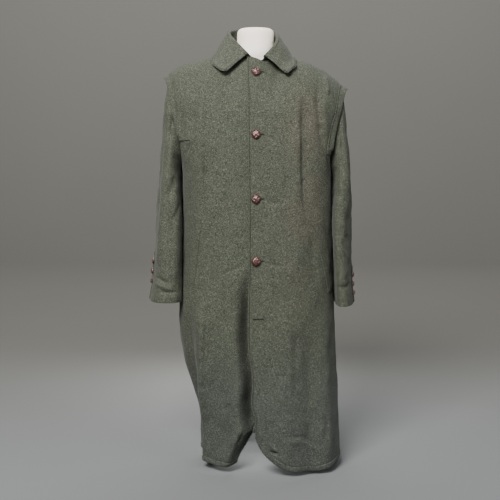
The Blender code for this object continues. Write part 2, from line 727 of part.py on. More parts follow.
def button_profile(radius, rise):
    steps = (0.62, 0.90, 1.0, 0.93, 0.68, 0.30)
    rises = (0.0, 0.10, 0.36, 0.66, 0.90, 1.0)
    return [(radius * step, rise * up) for step, up in zip(steps, rises)]


def add_front_buttons(tree_left, tree_right):
    for index, height in enumerate(BUTTON_HEIGHTS):
        tree = tree_right if index == 4 else tree_left
        start = Vector((BUTTON_LINE, -0.5, height))
        place, normal, _, _ = tree.ray_cast(start, Vector((0, 1, 0)))
        normal = normal if normal.y < 0 else -normal
        profile = button_profile(BUTTON_RADIUS, BUTTON_RISE)
        seat = UNDER_BUTTON_SEAT if index == 4 else SEAM_GAP
        add_turned(f"button_{index + 1}", profile, place + normal * seat, normal, "button")


CUFF_BUTTONS = {  # direction each row of buttons faces, and their heights
    "right": ((-0.93, 0.36), (0.640, 0.610, 0.580)),
    "left": ((0.98, 0.20), (0.598, 0.570, 0.542)),
}


def add_cuff_buttons(side, grid):
    tree = surface_tree([grid])
    (across, back), heights = CUFF_BUTTONS[side]
    middle = grid[-3, :-1].mean(axis=0)
    for index, height in enumerate(heights):
        aim = Vector((across, back, 0)).normalized()
        start = Vector((middle[0], middle[1], height)) + aim * 0.3
        place, normal, _, _ = tree.ray_cast(start, -aim)
        normal = normal if normal.dot(aim) > 0 else -normal
        profile = button_profile(CUFF_BUTTON_RADIUS, CUFF_BUTTON_RISE)
        name = f"cuff_button_{side}_{index + 1}"
        add_turned(name, profile, place + normal * SEAM_GAP, normal, "button", around=10)


def on_panel(grid, normal, girth, height):
    """The point and normal of a front panel at a girth from X = 0 and a height."""
    found = []
    for line, aim in zip(grid, normal):
        run = lengths(line)
        at = girth + np.interp(0.0, line[:, 0], run)
        both = np.concatenate([line, aim], axis=1)
        found.append([np.interp(at, run, both[:, axis]) for axis in range(6)])
    found = np.array(found)
    values = np.array([np.interp(height, found[:, 2], found[:, axis]) for axis in range(6)])
    return values[:3], values[3:] / np.linalg.norm(values[3:])


def add_welt(side, grid, normal):
    """A strip on the front panel, made from the panel's own surface moved out."""
    top_girth, top_height, low_girth, low_height, width = WELTS[side]
    wide, high = WELT_CELLS
    outer = []
    inner = []
    for row in range(high + 1):
        down = row / high
        for col in range(wide + 1):
            over = col / wide
            girth = top_girth + (low_girth - top_girth) * down + width * over
            place, aim = on_panel(grid, normal, girth, top_height + (low_height - top_height) * down + WELT_TILT * over)
            inner.append(place + aim * WELT_LIFT)
            outer.append(place + aim * (WELT_LIFT + WALL))
    faces = wall_faces(high + 1, wide + 1, False)
    add_object(f"pocket_welt_{side}", outer + inner, faces, "loden")


def add_form():
    """The dress form: a smooth closed torso with a rounded neck and no limbs."""
    around = FORM_AROUND
    vertices = []
    for height, right, left, front, back, square in FORM_RINGS:
        middle = (right + left) / 2
        half = (left - right) / 2
        for step in range(around):
            angle = 2 * math.pi * step / around
            cosine = math.copysign(abs(math.cos(angle)) ** (2 / square), math.cos(angle))
            sine = math.copysign(abs(math.sin(angle)) ** (2 / square), math.sin(angle))
            depth = back if sine > 0 else -front
            vertices.append((middle + half * cosine, depth * sine, height))
    faces = []
    for ring in range(len(FORM_RINGS) - 1):
        low = ring * around
        for step in range(around):
            nxt = (step + 1) % around
            faces.append((low + step, low + nxt, low + around + nxt, low + around + step))
    last = (len(FORM_RINGS) - 1) * around
    faces.append(tuple(range(around - 1, -1, -1)))
    faces.append(tuple(range(last, last + around)))
    add_object("dress_form", vertices, faces, "form")


def add_stand():
    """A pole under the form, standing on a plate folded over two legs."""
    base_top = BASE_FOLDS[-1][1]
    length = FORM_RINGS[0][0] - base_top - 2 * SEAM_GAP
    centre = (0.0, STAND_DEPTH, base_top + SEAM_GAP)
    add_turned("stand_pole", [(POLE_RADIUS, 0.0), (POLE_RADIUS, length)], centre, (0, 0, 1), "stand")
    halves = [[-outer, up, -inner, low] for outer, up, inner, low in BASE_FOLDS]
    folds = halves + [list(fold) for fold in BASE_FOLDS[::-1]]
    front = STAND_DEPTH - BASE_DEPTH / 2
    vertices = []
    for outer, up, inner, low in folds:
        for depth in (front, front + BASE_DEPTH):
            vertices += [(outer, depth, up), (inner, depth, low)]
    faces = [(0, 1, 3, 2)]
    for fold in range(len(folds) - 1):
        first, second = 4 * fold, 4 * fold + 4
        for one, two in ((0, 2), (2, 3), (3, 1), (1, 0)):
            faces.append((first + one, first + two, second + two, second + one))
    last = 4 * len(folds) - 4
    faces.append((last, last + 2, last + 3, last + 1))
    add_object("stand_base", vertices, faces, "stand", smooth=False)


def main():
    for thing in list(bpy.data.objects):
        bpy.data.objects.remove(thing, do_unlink=True)
    panels = {name: panel_grid(name) for name in ("front_left", "front_right", "back")}
    for name, (grid, normal) in panels.items():
        add_wall(name, grid, normal)
    all_panels = surface_tree([grid for grid, _ in panels.values()])
    both_faces = [grid for grid, _ in panels.values()] + [grid - normal * WALL for grid, normal in panels.values()]
    body = surface_tree(both_faces)
    for side in ("right", "left"):
        grid, normal = sleeve_grid(side, body)
        add_wall(f"sleeve_{side}", grid, normal, ring=True)
        add_cuff_buttons(side, grid)

    def lie_on(point, clearance):
        place, normal, _, _ = all_panels.find_nearest(Vector(point))
        middle = Vector((-0.005, 0.0, 1.10))
        normal = normal if normal.dot(place - middle) > 0 else -normal
        height = (Vector(point) - place).dot(normal)
        if height < clearance:
            return np.array(Vector(point) + normal * (clearance - height))
        return point

    grid, normal = collar_grid(lie_on)
    add_wall("collar", grid, normal)
    left_tree = surface_tree([panels["front_left"][0]])
    right_tree = surface_tree([panels["front_right"][0]])
    for side in ("right", "left"):
        add_welt(side, *panels[f"front_{side}"])
    add_front_buttons(left_tree, right_tree)
    add_form()
    add_stand()


main()
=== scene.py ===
"""Finished look of the loden coat: cloth, sewing, knotted buttons, the form's cover, light and camera.

The cloth follows the same tables as the solids at a finer step, and the smaller creases are pressed in one by
one. Metres, +Z up, the front towards -Y. Right and left are the wearer's: the right side is -X.
"""
import math

import bmesh
import bpy
import numpy as np
from mathutils import Matrix, Vector
from mathutils.bvhtree import BVHTree
from mathutils.kdtree import KDTree


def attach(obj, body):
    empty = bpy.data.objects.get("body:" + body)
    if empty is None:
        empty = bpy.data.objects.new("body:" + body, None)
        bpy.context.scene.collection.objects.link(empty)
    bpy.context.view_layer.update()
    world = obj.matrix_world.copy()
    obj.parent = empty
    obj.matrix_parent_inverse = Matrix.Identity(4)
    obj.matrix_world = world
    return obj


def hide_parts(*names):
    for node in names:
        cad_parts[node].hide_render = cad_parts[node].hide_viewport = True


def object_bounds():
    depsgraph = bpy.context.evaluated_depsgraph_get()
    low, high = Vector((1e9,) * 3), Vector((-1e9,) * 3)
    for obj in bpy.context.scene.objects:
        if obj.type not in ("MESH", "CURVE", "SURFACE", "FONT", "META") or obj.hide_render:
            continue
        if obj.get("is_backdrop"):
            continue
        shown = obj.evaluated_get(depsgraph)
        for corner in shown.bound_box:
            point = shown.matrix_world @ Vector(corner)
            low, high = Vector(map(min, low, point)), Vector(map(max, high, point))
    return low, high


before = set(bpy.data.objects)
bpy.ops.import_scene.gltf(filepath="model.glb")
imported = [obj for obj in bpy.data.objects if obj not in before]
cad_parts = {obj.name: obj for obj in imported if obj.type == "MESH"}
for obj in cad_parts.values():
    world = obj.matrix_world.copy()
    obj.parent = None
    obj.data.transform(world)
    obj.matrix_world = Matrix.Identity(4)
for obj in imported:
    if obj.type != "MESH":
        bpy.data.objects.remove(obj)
solid_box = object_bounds()

# Cloth and how finely it is laid out
WALL = 0.0026
SEAM_GAP = 0.0003
UNDERLAP_DROP = WALL + 4 * SEAM_GAP
CENTRE_SHIFT = Vector((0.0085, -0.008, 0.0))  # from the middle of the tables to that of the part
CLOTH_STEP = 0.0043
BACK_STEP = 0.0058
HALF_SAMPLES = 220
TURN_ROWS = 46  # rows that turn over towards a shoulder seam
PINCH_START = 0.45
SEAM_GIRTH = 0.31
PANEL_ENDS = {"left": (-1,), "right": (0,), "": (0, -1)}  # columns at a side seam; "" stands for the back
SLEEVE_AROUND = 96
SLEEVE_ROWS = 150
RIM_BULGE = 0.0007
SEAM_BULGE = SEAM_GAP * 1.3

SIDE_DEPTH = 0.01
ARM_LEVEL = 0.90
SHOULDER_LEVEL = 1.07

# Buttons, and how far each kind stands off the cloth under it
BUTTON_LINE = 0.0012
BUTTON_HEIGHTS = (1.203, 1.0228, 0.8362, 0.6544, 0.4830)
BUTTON_RADIUS = 0.0142
BUTTON_RISE = 0.0105
BUTTON_TURNS = (45, 38, 52, 41, 47)
UNDER_BUTTON_SEAT = 0.0019
CUFF_BUTTON_RADIUS = 0.0085
CUFF_BUTTON_RISE = 0.006
CUFF_BUTTON_SEAT = 0.0024
CUFF_BUTTONS = {  # direction each row of buttons faces, and their heights
    "right": ((-0.93, 0.36), (0.640, 0.610, 0.580)),
    "left": ((0.98, 0.20), (0.598, 0.570, 0.542)),
}
CORD_PLACES = (-0.47, 0.0, 0.47)  # middles of the cords of a knot, as shares of its radius
HOLE_ENDS = (-0.0092, 0.0246)
HOLE_HALF = 0.0016
BEAD_RADIUS = 0.00085
BEAD_SIDES = 8
HOLE_LIFT = 0.0003

# Overlap at the back of each cuff: angles round the sleeve, and height of the top
VENTS = {"right": (327, 351, 0.668), "left": (333, 357, 0.622)}
VENT_LIFT = 0.0003
VENT_WALL = 0.0020

# One row for each level of the body: half outlines, depths and squareness of the oval
SECTION_COLUMNS = ("height", "right", "left", "middle", "front", "back", "square")
SECTIONS = (
    (0.02, -0.160, 0.264, 0.050, -0.152, 0.168, 2.70),
    (0.08, -0.161, 0.263, 0.048, -0.155, 0.168, 2.65),
    (0.14, -0.164, 0.260, 0.044, -0.158, 0.166, 2.55),
    (0.20, -0.181, 0.257, 0.036, -0.160, 0.164, 2.45),
    (0.27, -0.201, 0.254, 0.026, -0.161, 0.160, 2.30),
    (0.34, -0.2206, 0.250, 0.016, -0.161, 0.157, 2.30),
    (0.42, -0.2325, 0.246, 0.010, -0.160, 0.153, 2.35),
    (0.50, -0.2345, 0.243, 0.006, -0.158, 0.149, 2.40),
    (0.62, -0.2270, 0.238, 0.004, -0.155, 0.143, 2.45),
    (0.76, -0.2200, 0.2335, 0.002, -0.151, 0.135, 2.75),
    (0.86, -0.2190, 0.2310, 0.000, -0.150, 0.131, 3.05),
    (0.93, -0.2220, 0.2310, 0.000, -0.149, 0.129, 3.35),
    (0.967, -0.2300, 0.2350, 0.000, -0.148, 0.128, 3.55),
    (1.006, -0.2370, 0.2405, 0.000, -0.147, 0.127, 3.70),
    (1.05, -0.2465, 0.2480, 0.000, -0.143, 0.125, 3.55),
    (1.085, -0.2545, 0.2580, 0.000, -0.139, 0.122, 3.30),
)

# Depth at which the front and the back stop at the armhole and the cap's edge, from the armpit up
ARM_COLUMNS = ("height", "front_depth", "back_depth")
ARM_EDGES = {
    "right": (
        (0.910, 0.010, 0.010),
        (0.926, -0.032, 0.040),
        (0.944, -0.064, 0.062),
        (0.966, -0.078, 0.074),
        (1.006, -0.088, 0.083),
        (1.040, -0.087, 0.082),
        (1.085, -0.078, 0.074),
    ),
    "left": (
        (0.880, 0.010, 0.010),
        (0.896, -0.032, 0.040),
        (0.914, -0.064, 0.062),
        (0.936, -0.078, 0.076),
        (0.972, -0.088, 0.084),
        (1.030, -0.084, 0.079),
        (1.085, -0.068, 0.064),
    ),
}

# The seam from the side of the neck to the cap's tip
SHOULDER_COLUMNS = ("across", "height")
SHOULDERS = {
    "right": (
        (-0.075, 1.2620),
        (-0.129, 1.2490),
        (-0.190, 1.2370),
        (-0.222, 1.2280),
        (-0.250, 1.2095),
        (-0.2731, 1.1850),
    ),
    "left": (
        (0.066, 1.2540),
        (0.1135, 1.2450),
        (0.1505, 1.2360),
        (0.2010, 1.2140),
        (0.2380, 1.1875),
        (0.2740, 1.1530),
    ),
}

# Neckline: its height at angles round the neck, from the right side through the middle to the left
NECKLINE_COLUMNS = ("angle", "height")
NECKLINE = {
    "front": ((-90, 1.262), (-50, 1.258), (-20, 1.2525), (0, 1.244), (18, 1.2365), (50, 1.2430), (90, 1.252)),
    "back": ((-90, 1.262), (-45, 1.270), (0, 1.274), (45, 1.266), (90, 1.252)),
}
NECK_DEPTHS = {"front": -0.084, "back": 0.072}

# Front edges: the left one lies on top and sweeps into a rounded hem corner
EDGE_COLUMNS = ("height", "left_edge", "right_edge", "recess")
EDGES = (
    (0.02, -0.0010, -0.058, 0.022),
    (0.07, -0.0010, -0.036, 0.024),
    (0.10, -0.0012, -0.020, 0.026),
    (0.131, -0.0023, -0.002, 0.028),
    (0.17, -0.0100, 0.014, 0.030),
    (0.21, -0.0135, 0.020, 0.029),
    (0.27, -0.0100, 0.024, 0.027),
    (0.33, -0.0130, 0.026, 0.025),
    (0.39, -0.0215, 0.026, 0.025),
    (0.48, -0.0231, 0.026, 0.0225),
    (0.60, -0.0207, 0.026, 0.003),
    (0.85, -0.0207, 0.026, 0.0),
    (1.05, -0.0231, 0.026, 0.0),
    (1.25, -0.0253, 0.026, 0.0),
)
HEM_HEIGHT = 0.020
HEM_TILT = (
    (-0.17, 0.010), (-0.12, 0.001), (-0.06, 0.000), (0.10, -0.003),
    (0.19, -0.008), (0.25, 0.004), (0.27, 0.014),
)
BACK_HEM_RISE = 0.026
BACK_HEM_REACH = 0.12  # distance from a side seam over which the back hem rises
# Hem corners: rise, reach and roundness
CORNERS = {"left": (0.111, 0.12, 1.7), "right": (0.010, 0.03, 1.7)}
CORNER_FADE = 0.35

# Soft folds, a row each: girth is measured along the panel from X = 0, negative to the right
FOLD_COLUMNS = ("girth_top", "top", "girth_low", "low", "rise", "width")
FOLDS = {
    "front": (
        (-0.172, 1.16, -0.168, 0.62, 0.0045, 0.020),
        (-0.168, 0.56, -0.182, -0.30, 0.0130, 0.020),
        (-0.222, 0.50, -0.228, 0.02, -0.0130, 0.024),
        (-0.235, 1.16, -0.205, 0.95, -0.0040, 0.014),
        (-0.110, 0.80, -0.105, -0.30, -0.0055, 0.026),
        (0.146, 1.17, 0.150, 0.76, -0.0050, 0.013),
        (0.118, 1.17, 0.122, 0.55, 0.0035, 0.020),
        (0.165, 0.80, 0.185, 0.56, -0.0035, 0.016),
        (0.200, 1.14, 0.205, 1.00, 0.0040, 0.016),
        (0.090, 0.55, 0.095, -0.30, 0.0060, 0.034),
        (0.165, 0.48, 0.172, -0.30, -0.0065, 0.026),
        (0.222, 0.52, 0.236, -0.30, 0.0070, 0.024),
    ),
    "back": (
        (-0.200, 0.92, -0.212, -0.30, 0.0130, 0.024),
        (-0.142, 1.02, -0.150, -0.30, -0.0140, 0.026),
        (-0.080, 0.95, -0.088, -0.30, 0.0120, 0.028),
        (-0.020, 1.04, -0.016, -0.30, -0.0130, 0.028),
        (0.045, 0.98, 0.052, -0.30, 0.0130, 0.028),
        (0.105, 1.05, 0.116, -0.30, -0.0140, 0.026),
        (0.165, 0.96, 0.182, -0.30, 0.0120, 0.026),
        (0.215, 0.80, 0.238, -0.30, -0.0100, 0.022),
    ),
}
FOLD_FADE = 0.10

# Sleeves: the oval ring through the outer and the inner point of each row
SLEEVE_COLUMNS = ("outer", "outer_height", "inner", "inner_height", "front", "back")
SLEEVES = {
    "right": (
        (-0.2450, 1.2090, -0.1980, 0.985, -0.052, 0.050),
        (-0.2580, 1.1780, -0.2050, 0.966, -0.068, 0.064),
        (-0.2700, 1.1300, -0.2150, 0.945, -0.079, 0.074),
        (-0.2790, 1.0500, -0.2255, 0.925, -0.083, 0.078),
        (-0.2860, 0.9600, -0.2272, 0.878, -0.090, 0.074),
        (-0.2950, 0.8600, -0.2245, 0.820, -0.100, 0.066),
        (-0.3005, 0.7600, -0.2245, 0.745, -0.106, 0.056),
        (-0.3045, 0.6550, -0.2260, 0.650, -0.110, 0.040),
        (-0.3105, 0.5850, -0.2270, 0.583, -0.112, 0.026),
        (-0.3195, 0.5230, -0.2280, 0.5225, -0.114, 0.012),
    ),
    "left": (
        (0.2470, 1.1750, 0.1980, 0.955, -0.050, 0.048),
        (0.2590, 1.1460, 0.2060, 0.936, -0.066, 0.062),
        (0.2680, 1.0980, 0.2200, 0.916, -0.077, 0.073),
        (0.2770, 1.0150, 0.2347, 0.893, -0.081, 0.077),
        (0.2860, 0.9300, 0.2372, 0.852, -0.087, 0.076),
        (0.2905, 0.8450, 0.2335, 0.800, -0.095, 0.071),
        (0.2915, 0.7500, 0.2355, 0.735, -0.099, 0.064),
        (0.2910, 0.6500, 0.2415, 0.645, -0.102, 0.052),
        (0.2935, 0.5750, 0.2450, 0.573, -0.104, 0.042),
        (0.2985, 0.5110, 0.2500, 0.5105, -0.105, 0.034),
    ),
}
SLEEVE_LEAN = 0.17  # how far an oval leans in towards the front
SLEEVE_CLEARANCE = 0.0008
SLEEVE_SQUARE = 2.4
# Sleeve folds: angle 0 is the outer side and 90 the front; share 0 is the head and 1 the cuff
SLEEVE_FOLD_COLUMNS = ("angle_top", "share_top", "angle_low", "share_low", "rise", "width")
SLEEVE_FOLDS = {
    "right": (
        (105, 0.25, 40, 0.84, 0.0050, 16),
        (60, 0.20, 20, 0.70, -0.0035, 16),
        (100, 0.84, 130, 0.97, -0.0035, 15),
        (230, 0.30, 300, 0.80, 0.0045, 18),
        (275, 0.25, 255, 0.75, -0.0040, 18),
    ),
    "left": (
        (75, 0.28, 50, 0.66, 0.0040, 16),
        (40, 0.55, 80, 0.80, -0.0035, 15),
        (60, 0.78, 110, 0.92, 0.0030, 15),
        (235, 0.30, 300, 0.78, 0.0045, 18),
        (275, 0.22, 250, 0.72, -0.0040, 18),
    ),
}

# Collar, from the right front end round the back to the left front end: across, depth and height
COLLAR_BASE = (
    (-0.0190, -0.0842, 1.2508),
    (-0.0460, -0.0680, 1.2566),
    (-0.0730, -0.0060, 1.2624),
    (-0.0580, 0.0450, 1.2708),
    (-0.0050, 0.0690, 1.2748),
    (0.0510, 0.0450, 1.2650),
    (0.0640, -0.0060, 1.2526),
    (0.0450, -0.0620, 1.2440),
    (0.0230, -0.0842, 1.2380),
)
COLLAR_ROLL = (
    (-0.0240, -0.0920, 1.2520),
    (-0.0540, -0.0700, 1.2830),
    (-0.0795, -0.0050, 1.3190),
    (-0.0635, 0.0540, 1.3310),
    (-0.0060, 0.0790, 1.3350),
    (0.0515, 0.0540, 1.3260),
    (0.0650, -0.0050, 1.3120),
    (0.0560, -0.0620, 1.2780),
    (0.0270, -0.0910, 1.2460),
)
COLLAR_OUTER = (
    (-0.0950, -0.1100, 1.1900),
    (-0.1255, -0.0720, 1.2190),
    (-0.1275, -0.0250, 1.2450),
    (-0.0980, 0.0700, 1.2560),
    (-0.0060, 0.1110, 1.2520),
    (0.0860, 0.0700, 1.2500),
    (0.1165, -0.0220, 1.2360),
    (0.1130, -0.0720, 1.2060),
    (0.0960, -0.1100, 1.1870),
)
COLLAR_ROLL_RADIUS = 0.0034
COLLAR_LIFT = 0.0009

# Slanted pocket welts: girth and height of the front corner at the top, then at the foot, and the width
WELTS = {
    "right": (-0.1580, 0.778, -0.1950, 0.563, -0.034),
    "left": (0.1720, 0.760, 0.2420, 0.548, 0.036),
}
WELT_TILT = 0.014
WELT_LENGTH = 0.215

# Smaller creases of the fronts: rise of the cloth, width, and points across and up
FRONT_CREASES = {
    "right": (
        (-0.0022, 0.0055, ((-0.2459, 1.1783), (-0.2388, 1.1029), (-0.2249, 1.0405))),
        (-0.0034, 0.0110, ((-0.1603, 1.2006), (-0.1724, 1.1496), (-0.1849, 1.0695), (-0.1884, 1.0059))),
        (0.0026, 0.0100, ((-0.1458, 1.1833), (-0.1580, 1.0923), (-0.1559, 0.9484), (-0.1626, 0.8026))),
        (-0.0018, 0.0040, ((-0.1866, 1.0030), (-0.1994, 0.9767), (-0.2106, 0.9529))),
        (-0.0020, 0.0065, ((-0.1500, 0.9900), (-0.1440, 0.8800), (-0.1490, 0.7600))),
        (-0.0024, 0.0045, ((-0.0882, 0.1966), (-0.0810, 0.2150), (-0.0744, 0.2287))),
        (-0.0030, 0.0045, ((-0.0560, 0.0900), (-0.0470, 0.1120), (-0.0335, 0.1415))),
        (0.0020, 0.0060, ((-0.0680, 0.0900), (-0.0560, 0.1250), (-0.0450, 0.1550))),
        (0.0028, 0.0060, (
            (-0.1500, 0.5600), (-0.1560, 0.4900), (-0.1610, 0.4250), (-0.1645, 0.3300),
            (-0.1625, 0.2240), (-0.1570, 0.1108))),
        (-0.0007, 0.0100, (
            (-0.1660, 0.6000), (-0.1715, 0.5200), (-0.1770, 0.4250), (-0.1805, 0.3300),
            (-0.1770, 0.2240), (-0.1720, 0.1300))),
        (-0.0016, 0.0060, ((-0.1300, 0.2900), (-0.1230, 0.2000), (-0.1260, 0.1250))),
        (-0.0014, 0.0050, ((-0.1000, 0.1500), (-0.0980, 0.1050), (-0.1040, 0.0700))),
        (-0.0016, 0.0060, ((-0.0300, 0.6450), (-0.0700, 0.6250), (-0.1050, 0.6150))),
    ),
    "left": (
        (-0.0034, 0.0095, ((0.1844, 1.1813), (0.1820, 1.1068), (0.1919, 1.0203), (0.2034, 0.9649))),
        (0.0026, 0.0060, ((0.2043, 1.1993), (0.2095, 1.1622), (0.2080, 1.1300))),
        (-0.0020, 0.0065, ((0.1150, 1.2309), (0.1239, 1.2000), (0.1372, 1.1605))),
        (-0.0026, 0.0036, (
            (0.1374, 1.1662), (0.1350, 1.0922), (0.1343, 1.0063), (0.1383, 0.8471),
            (0.1471, 0.7680))),
        (0.0016, 0.0080, ((0.1240, 1.1400), (0.1225, 1.0300), (0.1230, 0.9000))),
        (-0.0018, 0.0036, ((0.2050, 0.9619), (0.2167, 0.9320), (0.2280, 0.8983))),
        (-0.0014, 0.0060, ((0.0700, 0.1330), (0.0897, 0.1264), (0.1382, 0.1234), (0.1900, 0.0960))),
        (0.0010, 0.0060, ((0.0900, 0.1120), (0.1400, 0.1080), (0.1950, 0.0820))),
        (-0.0012, 0.0060, ((0.1500, 0.1050), (0.2050, 0.0860))),
        (-0.0028, 0.0036, ((0.0351, 0.0813), (0.0540, 0.0770), (0.0728, 0.0721))),
        (0.0022, 0.0040, ((0.0384, 0.1133), (0.0500, 0.0950), (0.0591, 0.0776))),
        (-0.0012, 0.0050, ((0.0685, 0.3105), (0.0961, 0.3098))),
        (0.0014, 0.0035, ((0.0980, 0.3080), (0.1109, 0.3256))),
        (-0.0016, 0.0070, ((0.0200, 0.6520), (0.0500, 0.6430), (0.0829, 0.6342))),
        (-0.0014, 0.0070, ((0.0200, 0.8335), (0.0500, 0.8260), (0.0851, 0.8159))),
        (-0.0012, 0.0070, ((0.0200, 1.0207), (0.0450, 1.0120), (0.0699, 1.0007))),
        (-0.0022, 0.0060, ((0.2150, 0.2100), (0.2180, 0.1500), (0.2060, 0.0900))),
        (-0.0016, 0.0100, ((0.1220, 0.4600), (0.1180, 0.3300), (0.1300, 0.2200))),
    ),
}
BACK_CREASES = (
    (-0.0020, 0.0070, ((-0.1700, 1.1500), (-0.1580, 1.0500), (-0.1500, 0.9300))),
    (-0.0020, 0.0070, ((0.1800, 1.1300), (0.1700, 1.0300), (0.1560, 0.9200))),
    (-0.0016, 0.0080, ((-0.0900, 1.1800), (-0.0300, 1.1680), (0.0300, 1.1700), (0.0850, 1.1720))),
    (-0.0020, 0.0060, ((-0.1300, 0.1300), (-0.0800, 0.1180), (-0.0300, 0.1260))),
    (0.0016, 0.0060, ((0.0500, 0.1500), (0.1100, 0.1330), (0.1650, 0.1410))),
    (-0.0016, 0.0050, ((-0.2060, 0.6400), (-0.1650, 0.6260), (-0.1200, 0.6350))),
    (-0.0016, 0.0050, ((0.2050, 0.6300), (0.1500, 0.6120), (0.1100, 0.6200))),
)
# Small bar at the foot of each cap, where the cloth over the armhole ends
CAP_BARS = {
    "right": ((-0.2290, 1.0016), (-0.1866, 1.0059)),
    "left": ((0.2034, 0.9649), (0.2330, 0.9601)),
}
# Creases of the sleeves: rise, width, then angle and share points; 0 is the outer side, 90 the front
SLEEVE_CREASES = {
    "right": (
        (-0.0024, 0.0060, ((35, 0.865), (70, 0.880), (105, 0.905))),
        (0.0020, 0.0060, ((30, 0.895), (75, 0.910), (115, 0.930))),
        (-0.0020, 0.0055, ((60, 0.935), (95, 0.945), (125, 0.940))),
        (-0.0026, 0.0080, ((120, 0.42), (95, 0.52), (75, 0.60))),
        (-0.0022, 0.0070, ((130, 0.56), (100, 0.64), (85, 0.72))),
        (-0.0024, 0.0080, ((95, 0.10), (80, 0.22), (85, 0.36))),
        (-0.0024, 0.0080, ((250, 0.45), (275, 0.55), (300, 0.62))),
        (-0.0022, 0.0070, ((240, 0.60), (270, 0.68), (310, 0.74))),
        (-0.0020, 0.0060, ((230, 0.86), (270, 0.88), (310, 0.90))),
    ),
    "left": (
        (-0.0024, 0.0070, ((120, 0.46), (90, 0.54), (60, 0.60))),
        (-0.0022, 0.0060, ((110, 0.66), (75, 0.73), (40, 0.76))),
        (0.0018, 0.0060, ((95, 0.62), (70, 0.68), (45, 0.70))),
        (-0.0020, 0.0060, ((40, 0.88), (80, 0.90), (120, 0.89))),
        (-0.0022, 0.0080, ((85, 0.12), (75, 0.24), (90, 0.38))),
        (-0.0024, 0.0080, ((245, 0.45), (275, 0.53), (305, 0.60))),
        (-0.0022, 0.0070, ((235, 0.62), (270, 0.70), (315, 0.75))),
    ),
}
# Slow unevenness of all the cloth: height, waves across and up per metre, and phase
RIPPLES = (
    (0.00060, 62.0, 21.0, 0.4),
    (0.00050, -48.0, 37.0, 1.9),
    (0.00040, 96.0, -58.0, 3.1),
    (0.00030, 33.0, 110.0, 5.0),
)

# Sewing: its distance from a rim, and the stitches themselves
OPENING_STITCH = 0.0062
HEM_STITCH = 0.0165
HEM_STITCH_TOP = 0.035
HEM_STITCH_FADE = {"left": 0.09, "right": 0.03}  # height over which it narrows to the opening's distance
CAP_STITCHES = (0.0185, 0.0245)
COLLAR_STITCH = 0.0070
WELT_STITCH = 0.0050
STITCH_PITCH = 0.0046
STITCH_RADIUS = 0.00055
STITCH_SINK = 0.0002

# Puffs and grooves that sewing leaves in the cloth; narrow seams puff up and dip more
SEWN_PUFF, SEWN_PUFF_NARROW = 0.0013, 0.0009
SEWN_GROOVE, SEWN_GROOVE_NARROW, SEWN_GROOVE_WIDTH = 0.0010, 0.0019, 0.0018
NARROW_FROM, NARROW_OVER = 0.012, 0.006
RIM_ROUNDING, RIM_ROUNDING_WIDTH = 0.0005, 0.0013
SEAM_GROOVE, SEAM_GROOVE_WIDTH = 0.0008, 0.0022
CAP_GROOVE, CAP_GROOVE_WIDTH = 0.0015, 0.0019
CAP_RIDGE, CAP_RIDGE_WIDTH = 0.0010, 0.0022
WELT_PUFF = 0.0008

COLLAR_CORNERS = (0.0190, 0.0130)  # rounding of the right and the left leaf
COLLAR_STAND_OFF = 0.0170  # how far the tips of the leaves stand off the chest
COLLAR_STAND_OFF_REACH = 0.042
COLLAR_FALL_START = 17  # first row of the fall; the rows before it are the stand and the roll
RECESS_WIDTH = 0.046
RECESS_DEEPER = 1.9
UNDERLAP_START, UNDERLAP_FADE = -0.055, 0.030
EDGE_LIFT = 0.0026  # how far the lap's front edge stands up, above a height
EDGE_LIFT_START, EDGE_LIFT_FADE, EDGE_LIFT_WIDTH = 0.16, 0.10, 0.007
FOLD_GAIN = 1.15
FOLD_SEAM_FADE = 0.018
CREASE_GAIN = 2.6
CREASE_SEAM_FADE = 0.012
CREASE_TAPER = 0.32  # share of a crease's length over which each end fades
RIPPLE_GAIN = 1.05
CAP_FLARE, CAP_FLARE_WIDTH = 0.0060, 0.013  # how far the caps' rims stand out

# Sleeves: size of the cloth for its creases, the seam at the back, and the room left or closed at the body
SLEEVE_GIRTH = 0.36
SLEEVE_LENGTH = 0.66
SLEEVE_SEAM_ANGLE = 125
HEAD_CLEARANCE = 0.0080  # extra room between the sleeve head and the cap
ARMPIT_ANGLE, ARMPIT_WIDTH = 215, 48
CLOSING_MOST, CLOSING_GAP = 0.050, 0.0015

# Form's cover: size of its faces, and how much slimmer it is under the coat
COVER_FACE = 0.0055
COVER_EASE = 0.0030
COVER_HIDDEN_TOP, COVER_HIDDEN_FADE = 1.236, 0.024


def follow(places, values, at):
    """A smooth curve through values at places, read at any place."""
    places = np.asarray(places, float)
    values = np.asarray(values, float)
    at = np.clip(np.asarray(at, float), places[0], places[-1])
    slopes = np.gradient(values, places)
    cell = np.clip(np.searchsorted(places, at) - 1, 0, len(places) - 2)
    step = places[cell + 1] - places[cell]
    t = (at - places[cell]) / step
    start = (2 * t**3 - 3 * t**2 + 1) * values[cell] + (t**3 - 2 * t**2 + t) * step * slopes[cell]
    end = (3 * t**2 - 2 * t**3) * values[cell + 1] + (t**3 - t**2) * step * slopes[cell + 1]
    return start + end


def column(table, names, name):
    return np.array([row[names.index(name)] for row in table])


def section(name, height):
    heights = column(SECTIONS, SECTION_COLUMNS, "height")
    return follow(heights, column(SECTIONS, SECTION_COLUMNS, name), height)


def edge(name, height):
    return follow(column(EDGES, EDGE_COLUMNS, "height"), column(EDGES, EDGE_COLUMNS, name), height)


def smooth_step(value):
    t = np.clip(value, 0.0, 1.0)
    return t * t * (3 - 2 * t)


def lengths(points):
    """Distance along a line of points, from its first."""
    steps = np.linalg.norm(np.diff(points, axis=0), axis=1)
    return np.concatenate(([0.0], np.cumsum(steps)))


def points_at(points, at, run=None):
    """Points of a line at distances along it, or at places of another measure given for its points."""
    run = lengths(points) if run is None else run
    return np.stack([np.interp(at, run, points[:, axis]) for axis in range(points.shape[1])], axis=1)


